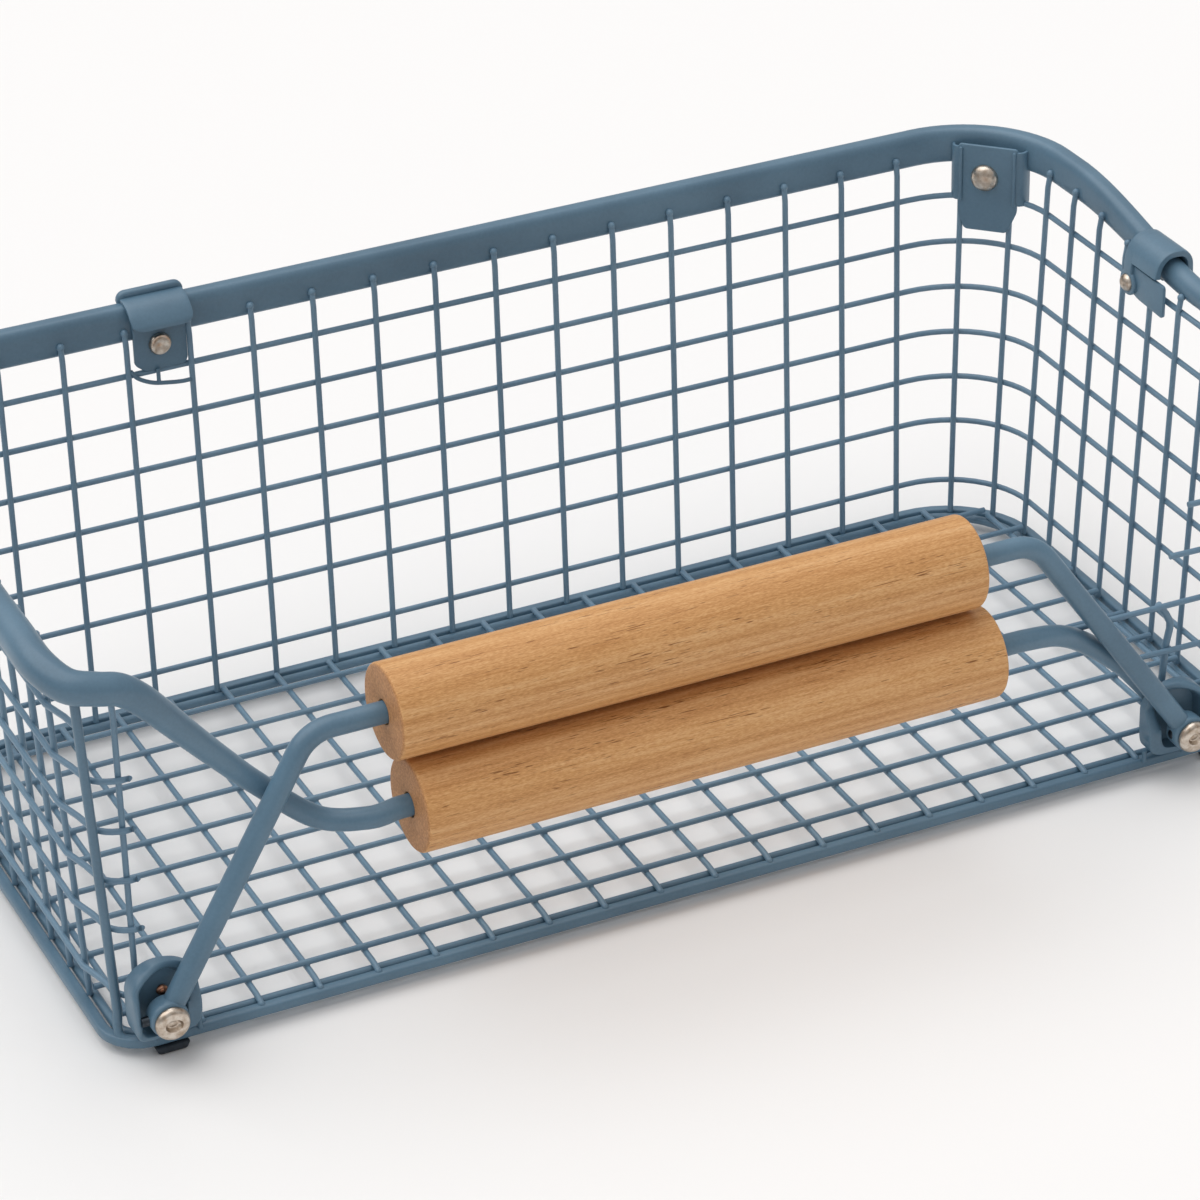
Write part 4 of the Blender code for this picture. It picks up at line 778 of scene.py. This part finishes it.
# Each ring of a plate is its share of the way in to the recess, and how far it is raised in the rolled part and in
# the flat part.
PLATE_RINGS = (
    (0.00, 0.74, 0.93), (0.05, 0.86, 0.985), (0.13, 0.95, 1.0), (0.24, 1.0, 1.0), (0.36, 1.0, 1.0),
    (0.50, 0.97, 1.0), (0.64, 0.88, 1.0), (0.76, 0.70, 1.0), (0.86, 0.40, 1.0), (0.93, 0.12, 1.0),
    (0.97, 0.02, 0.985), (1.00, 0.0, 0.92), (1.02, 0.0, 0.5), (1.05, 0.0, 0.0),
)
OUTER_HEIGHTS = ((-0.0104, 0.0065), (-0.0060, 0.0082), (-0.0020, 0.0095), (0.0040, 0.0093), (0.0100, 0.0070),
                 (0.0160, 0.0045), (0.0205, 0.0036))
INNER_HEIGHTS = ((-0.0104, 0.0065), (0.0, 0.0065), (0.0040, 0.0052), (0.0080, 0.0031), (0.0205, 0.0030))
PLATE_BLEND = 0.004
FLAT_OUTER, FLAT_INNER = -0.0040, 0.0060
TIE_PLACES = (-0.0025, 0.0118)
TIE_HEIGHTS = (0.0058, 0.0100)
TIE_DIAMETER = 0.0015
TIE_Y = -0.0926


def eased(share):
    share = min(1.0, max(0.0, share))
    return share * share * (3 - 2 * share)


def read_off(table, height):
    """The value at this height on a table of (height, value) rows, eased from row to row."""
    for (low, first), (high, second) in zip(table, table[1:]):
        if height <= high:
            return first + (second - first) * eased((height - low) / (high - low))
    return table[-1][1]


def plate_forward(x, z, rolled, flat):
    """How far forward the plate stands at x, inwards from the pivot, and z, up from it."""
    inner = eased((x + PLATE_BLEND) / (2 * PLATE_BLEND))
    top = read_off(OUTER_HEIGHTS, z) * (1 - inner) + read_off(INNER_HEIGHTS, z) * inner
    outer_flat, inner_flat = eased((FLAT_OUTER - z) / PLATE_BLEND), eased((FLAT_INNER - z) / PLATE_BLEND)
    flatness = outer_flat * (1 - inner) + inner_flat * inner
    return PLATE_FLOOR + (top - PLATE_FLOOR) * (rolled + (flat - rolled) * flatness)


for side, name, pivot_x in SIDES:
    plate = bmesh.new()
    outline = bmesh.ops.create_circle(plate, segments=88, radius=1, cap_ends=True)["verts"]
    for corner in outline:
        x, z = corner.co.x, corner.co.y
        if z < 0:
            x, z = copysign(abs(x) ** PLATE_POWER, x), -abs(z) ** PLATE_POWER
        tall = PLATE_ARCH if z > 0 else PLATE_CROWN + PLATE_BELOW
        corner.co = (x * (PLATE_INNER if x > 0 else PLATE_OUTER), PLATE_CROWN + z * tall, 0)
    front, shrunk = plate.faces[:], [(1, 1, 1, 1)]
    for inset, rolled, flat in PLATE_RINGS:
        made = bmesh.ops.extrude_face_region(plate, geom=front)["geom"]
        if len(shrunk) > 1:
            bmesh.ops.delete(plate, geom=front, context="FACES_ONLY")
        front = [part for part in made if isinstance(part, bmesh.types.BMFace)]
        shrunk.append([1 - inset * (1 - share) for share in RECESS_SHARES])
        inner, outer, above, below = [now / before for now, before in zip(shrunk[-1], shrunk[-2])]
        for corner in front[0].verts:
            x, rise = corner.co.x, corner.co.y - PLATE_MIDDLE
            x *= inner if x > 0 else outer
            z = PLATE_MIDDLE + rise * (above if rise > 0 else below)
            corner.co = (x, z, plate_forward(x, z, rolled, flat))
    for corner in plate.verts:
        x, z, forward = corner.co
        corner.co = (pivot_x - side * x, PLATE_BACK - forward, PIVOT_Z + z)
    ties = [[(pivot_x - side * x, TIE_Y, z) for z in TIE_HEIGHTS] for x in TIE_PLACES]
    shapes = [plate, wires(ties, TIE_DIAMETER)]
    piece(name + "_pressed_plate", shapes, powder_coat, "powder_coat", "basket", name + "_corner_plate")

# Hinge pins and plate pins: a steel pin across each foot of the bail, held in the plate's outer wall and painted near
# black as painted shade of the recess, and a small coppered nail above each foot that fixes the plate, the right one
# also holding the rail's tab.
PIN_PROFILE = ((0, 0.0082), (0.0015, 0.0082), (0.0015, -0.0059), (0.0011, -0.0062), (0, -0.0062))
NAIL_Y, NAIL_Z = -0.0911, 0.0222
NAIL_INWARD = 0.0012
NAIL_HEAD = (
    (0, 0.0024), (0.0006, 0.0024), (0.0011, 0.0021), (0.0013, 0.0017), (0.0012, 0.0013), (0.0014, 0.0010),
    (0.0017, 0.0008), (0.0018, 0.0004), (0.0016, 0), (0.0010, 0),
)
NAIL_TAIL = ((0.0010, 0), (0.0016, 0), (0.0017, -0.0005), (0.0008, -0.0009), (0, -0.0009))
NAIL_BACKS = {"left": -0.0021, "right": -0.0039}


def make_copper():
    """Coppered steel wire nail: reddish metal with darker oxide, 1 mm across, and a rough, peened head."""
    material, tree, shader, place = new_material("coppered_steel", Metallic=1.0)
    oxide, colour = patches(tree, place, (0.36, "6B4433"), (0.66, "D9A58A"), Scale=900.0, Detail=4.0)
    set_surface(tree, shader, colour, (oxide, 0.5, 0.0002), (oxide, 0.25, 0.5))
    return material


# The hinge pins' steel is painted near black: painted shade, so that the pins read as the shadow in the plate's
# recess.
pin_steel = make_nickel("pin_steel_dark_as_painted_shade", "2E3338", "4A5158")
copper = make_copper()
for side, name, pivot_x in SIDES:
    pin = turned(PIN_PROFILE, (pivot_x, PIVOT_Y, PIVOT_Z), X_AXIS * side, steps=28)
    piece(name + "_hinge_pin_steel", [pin], pin_steel, "nickel", "basket", name + "_hinge_pin")
    nail_profile = [*NAIL_HEAD, *[(radius, NAIL_BACKS[name] + along) for radius, along in NAIL_TAIL]]
    nail = turned(nail_profile, (pivot_x - side * NAIL_INWARD, NAIL_Y, NAIL_Z), -Y_AXIS, steps=24)
    piece(name + "_copper_pin", [nail], copper, "copper", "basket", name + "_plate_screw")

# Rim clips: sheet-steel parts that tie the mesh to the rim, each with a dull nickel rivet. The back one is a tongue
# over the rim with a looped bar, the corner one a ribbed plate, and those on the ends saddles with a rolled edge.
SHEET = 0.0012
SHEET_EDGE = 0.00025
SHEET_CORNER = 0.0012
STRAP_POWER = 0.22
BACK_CLIP_X = -0.1065
RIGHT_CLIP_Y, LEFT_CLIP_Y = -0.010, 0.0155
CORNER_ANGLE = pi / 4
TONGUE_WIDE, TONGUE_THICK = 0.0210, 0.0015
TONGUE_FOLD = (
    (0.0042, -0.0128), (0.0043, -0.0080), (0.0043, 0.0), (0.0045, 0.0042), (0.0036, 0.0064), (0.0010, 0.0067),
    (-0.0018, 0.0065), (-0.0040, 0.0058), (-0.0058, 0.0046), (-0.0072, 0.0033), (-0.0082, 0.0020), (-0.0088, 0.0010),
    (-0.0090, 0.0002), (-0.0091, -0.0003),
)
TONGUE_WIDTHS = (0.44, 0.44, 0.62, 1, 1, 1, 1, 1, 1, 1, 0.99, 0.95, 0.84, 0.68)
BAR = ((-0.0098, 0.0030, 0.0060), (-0.0098, 0.0030, 0.00795), (0.0098, 0.0030, 0.00795), (0.0098, 0.0030, 0.0060))
BAR_THICK, BAR_BEND, BAR_POWER = 0.0030, 0.0015, 0.75
BACK_PLATE = (
    (-0.0092, 0.0036), (0.0088, 0.0036), (0.0088, -0.0150), (0.0074, -0.0166), (-0.0058, -0.0166),
    (-0.0092, -0.0138),
)
BACK_PLATE_FRONT = -0.0051
HANGER_DIAMETER = 0.0014
HANGER_FRONT = -0.0056
HANGER_ARC = (
    (-0.0110, -0.0150), (-0.0088, -0.0180), (-0.0040, -0.0206), (0.0015, -0.0218), (0.0060, -0.0224),
    (0.0095, -0.0224),
)
HANGER_DROP = ((-0.0018, -0.0160), (-0.0018, -0.0212))
CORNER_PLATE = (
    (-0.0105, 0.0030), (0.0105, 0.0030), (0.0105, -0.0205), (0.0070, -0.0285), (-0.0080, -0.0285),
    (-0.0105, -0.0225),
)
CORNER_FRONT = -0.0092
CORNER_BACKING = ((-0.0085, -0.0070), (0.0085, -0.0070), (0.0070, -0.0180), (-0.0070, -0.0180))
BACKING_FRONT = -0.0026
FLANGE = ((0.0098, 0.0006), (0.0112, 0.0006), (0.0122, 0.0012), (0.0128, 0.0026), (0.0130, 0.0052))
FLANGE_TALL, FLANGE_CENTRE = 0.0200, -0.0080
RIB_SIZE = (0.0012, 0.0014, 0.0200)
RIB_ALONG, RIB_EDGE = 0.0094, 0.0004
END_PLATE = (
    (-0.0078, -0.0021), (0.0112, -0.0021), (0.0112, -0.0135), (-0.0040, -0.0128), (-0.0105, -0.0112),
    (-0.0118, -0.0085), (-0.0105, -0.0050),
)
END_PLATE_FRONT = -0.0080
ROLL_ALONG, ROLL_WIDE, ROLL_THICK = -0.0093, 0.0046, 0.0024
SADDLE_ALONG, SADDLE_WIDE = -0.0021, 0.0190
ROLL_PATH = (
    (-0.0078, -0.0085), (-0.0080, -0.0050), (-0.0078, -0.0010), (-0.0068, 0.0030), (-0.0044, 0.0058),
    (-0.0010, 0.0066), (0.0025, 0.0060), (0.0044, 0.0036), (0.0048, 0.0), (0.0048, -0.0050), (0.0044, -0.0100),
)
EYE_DISC = (0.0045, 0.0011, 0.0006)
RING_HEAD = ((0, 0.0005), (0.0013, 0.0008), (0.0021, 0.0012), (0.0028, 0.0017), (0.0033, 0.0016), (0.0037, 0.0010),
             (0.0038, 0.0004), (0.0036, 0))
SHANK_RADIUS = 0.0015
SHANK_TAIL = ((0.0025, 0), (0.0024, -0.0005), (0.0015, -0.0008), (0, -0.0008))


def dome_head(radius, tall, foot):
    """A rivet's domed head, from its top to its edge and in under it."""
    return [*[(radius * sin(angle), tall * cos(angle)) for angle in quarter_turn(8)], (foot, 0)]


def flat_sheet(outline, front):
    """A flat sheet-steel part across the rim: outline in (along, up), its front face at front."""
    shape = bmesh.new()
    corners = bmesh.ops.create_circle(shape, segments=len(outline), radius=1, cap_ends=True)["verts"]
    for post, (along, up) in zip(corners, outline):
        post.co = (along, front, up)
    made = bmesh.ops.extrude_face_region(shape, geom=shape.faces[:])["geom"]
    moved = [part for part in made if isinstance(part, bmesh.types.BMVert)]
    bmesh.ops.translate(shape, vec=(0, SHEET, 0), verts=moved)
    posts = [edge for edge in shape.edges if abs(edge.verts[0].co.y - edge.verts[1].co.y) > SAME_PLACE]
    round_edges(shape, posts, SHEET_CORNER, segments=4)
    rims = [edge for edge in shape.edges if abs(edge.verts[0].co.y - edge.verts[1].co.y) < SAME_PLACE]
    round_edges(shape, rims, SHEET_EDGE, segments=2)
    return shape


def folded_strap(fold, along, wide, thick, widths=()):
    """A strap bent over the rim: fold is its middle line in (outward, up), widths its share of the width there."""
    shares = widths or [1] * len(fold)
    numbers = smooth_rows([(share, *point) for share, point in zip(shares, fold)], per_span=4)
    rows = [((along, outward, up), thick, wide * share, STRAP_POWER) for share, outward, up in numbers]
    return tube(rows, sides=24, side=X_AXIS)


def rim_clip(name, centre, outward, shapes, rivet_at, head, front, back, mirror=1):
    """Sets a clip, modelled across the rim at its place, on the rim, with its rivet."""
    outward = Vector(outward)
    turn = Matrix((outward.cross(Z_AXIS) * mirror, outward, Z_AXIS)).transposed().to_4x4()
    turn.translation = centre
    along, up = rivet_at
    far = back - front
    shank = [(SHANK_RADIUS, 0), (SHANK_RADIUS, -far), *[(radius, down - far) for radius, down in SHANK_TAIL]]
    rivet = turned([*head, *shank], (along, front, up), -Y_AXIS, steps=40)
    for shape in (*shapes, rivet):
        bmesh.ops.transform(shape, matrix=turn, verts=shape.verts[:])
    piece(name + "_strap", shapes, powder_coat, "powder_coat", "basket", name, sharp=50)
    piece(name + "_rivet_head", [rivet], nickel, "nickel", "basket", name + "_rivet")


bar_rows = [(place, BAR_THICK, BAR_THICK, BAR_POWER) for place in rounded(BAR, BAR_BEND, steps=5)]
arc = smooth_rows([(along, HANGER_FRONT, up) for along, up in HANGER_ARC], per_span=5)
drop = [(along, HANGER_FRONT, up) for along, up in HANGER_DROP]
back_shapes = [
    folded_strap(TONGUE_FOLD, 0, TONGUE_WIDE, TONGUE_THICK, TONGUE_WIDTHS), tube(bar_rows, sides=20, side=Y_AXIS),
    flat_sheet(BACK_PLATE, BACK_PLATE_FRONT), wires([arc, drop], HANGER_DIAMETER),
]
rim_clip(
    "back_clip", (BACK_CLIP_X, rim_corner(pi / 2)[1], RIM_HEIGHT), Y_AXIS, back_shapes,
    rivet_at=(-0.0005, -0.0074), head=RING_HEAD, front=BACK_PLATE_FRONT, back=0.0048,
)

corner_shapes = [flat_sheet(CORNER_PLATE, CORNER_FRONT), flat_sheet(CORNER_BACKING, BACKING_FRONT)]
for side in (-1, 1):
    flange_places = [(side * along, CORNER_FRONT + deep, FLANGE_CENTRE) for along, deep in FLANGE]
    flange_rows = [(place, FLANGE_TALL, SHEET, STRAP_POWER) for place in flange_places]
    corner_shapes.append(tube(flange_rows, sides=20, side=Y_AXIS))
    corner_shapes.append(block(RIB_SIZE, (side * RIB_ALONG, CORNER_FRONT, FLANGE_CENTRE), RIB_EDGE, segments=3))
rim_clip(
    "corner_clip", (*rim_corner(CORNER_ANGLE), RIM_HEIGHT), (cos(CORNER_ANGLE), sin(CORNER_ANGLE), 0), corner_shapes,
    rivet_at=(-0.0010, -0.0086), head=dome_head(0.0048, 0.0030, 0.0046), front=CORNER_FRONT, back=-0.0014,
)

for side, name, clip_y in ((1, "right_clip", RIGHT_CLIP_Y), (-1, "left_clip", LEFT_CLIP_Y)):
    rivet_at = (ROLL_ALONG, ROLL_PATH[0][1])
    shapes = [
        folded_strap(ROLL_PATH, ROLL_ALONG, ROLL_WIDE, ROLL_THICK),
        folded_strap(ROLL_PATH[2:-1], SADDLE_ALONG, SADDLE_WIDE, ROLL_THICK),
        flat_sheet(END_PLATE, END_PLATE_FRONT),
        turned(disc_profile(*EYE_DISC), (rivet_at[0], END_PLATE_FRONT, rivet_at[1]), Y_AXIS, steps=36),
    ]
    rim_clip(
        name, end_rim_row(side, clip_y)[0], X_AXIS * side, shapes, rivet_at=rivet_at,
        head=dome_head(0.0030, 0.0022, 0.0028), front=END_PLATE_FRONT - 0.0010, back=0.0055, mirror=side,
    )

# Studio: a pale seamless floor, one very broad light overhead and a little behind, and even light all round.
FLOOR_HALF, FLOOR_DROP = 4.0, 0.0002
LEVEL_LIGHT, TOP_LIGHT = 0.27, 0.78
LIGHT_FROM = Vector((-0.30, 0.28, 1.0))
LIGHT_STRENGTH, LIGHT_SPREAD = 1.66, radians(75)
stage = bmesh.new()
bmesh.ops.create_grid(stage, x_segments=1, y_segments=1, size=FLOOR_HALF)
stage_mesh = bpy.data.meshes.new("studio_floor")
stage.to_mesh(stage_mesh)
stage.free()
stage_mesh.materials.append(new_material("pale_paper", Roughness=0.9, Base_Color=linear("F1F0EF"))[0])
stage_floor = bpy.data.objects.new("studio_floor", stage_mesh)
stage_floor.location.z = -FLOOR_DROP
bpy.context.scene.collection.objects.link(stage_floor)

world = bpy.data.worlds.new("studio_world")
world.use_nodes = True
sky = world.node_tree
sky_way = add_node(sky, "SeparateXYZ", {"Vector": add_node(sky, "TexCoord").outputs["Generated"]})
sky_level = add_node(sky, "MapRange", {"Value": sky_way.outputs["Z"], "From Min": -0.1, "From Max": 0.9,
                                       "To Min": LEVEL_LIGHT, "To Max": TOP_LIGHT})
sky.nodes["Background"].inputs["Color"].default_value = linear("FBFAFA")
sky.links.new(sky_level.outputs["Result"], sky.nodes["Background"].inputs["Strength"])
bpy.context.scene.world = world

sun_data = bpy.data.lights.new("overhead_light", "SUN")
sun_data.energy = LIGHT_STRENGTH
sun_data.angle = LIGHT_SPREAD
overhead = bpy.data.objects.new("overhead_light", sun_data)
overhead.rotation_euler = (-LIGHT_FROM).to_track_quat("-Z", "Y").to_euler()
bpy.context.scene.collection.objects.link(overhead)

# Camera: a long lens at the photograph's angle, looking down on the basket from its front left.
CAMERA_PLACE = (-0.5339, -1.1648, 0.7900)
CAMERA_YAW, CAMERA_PITCH, CAMERA_ROLL = 24.748, 29.608, -1.441
CAMERA_LENS, SENSOR_WIDTH = 138.1, 36
CAMERA_NEAR = 0.05
camera_data = bpy.data.cameras.new("camera")
camera_data.lens = CAMERA_LENS
camera_data.sensor_width = SENSOR_WIDTH
camera_data.clip_start = CAMERA_NEAR
camera = bpy.data.objects.new("camera", camera_data)
turn = Matrix.Rotation(radians(-CAMERA_YAW), 4, "Z") @ Matrix.Rotation(radians(90 - CAMERA_PITCH), 4, "X")
turn = turn @ Matrix.Rotation(radians(CAMERA_ROLL), 4, "Z")
camera.matrix_world = Matrix.Translation(CAMERA_PLACE) @ turn
bpy.context.scene.collection.objects.link(camera)
bpy.context.scene.camera = camera
bpy.context.scene.view_settings.view_transform = "Standard"
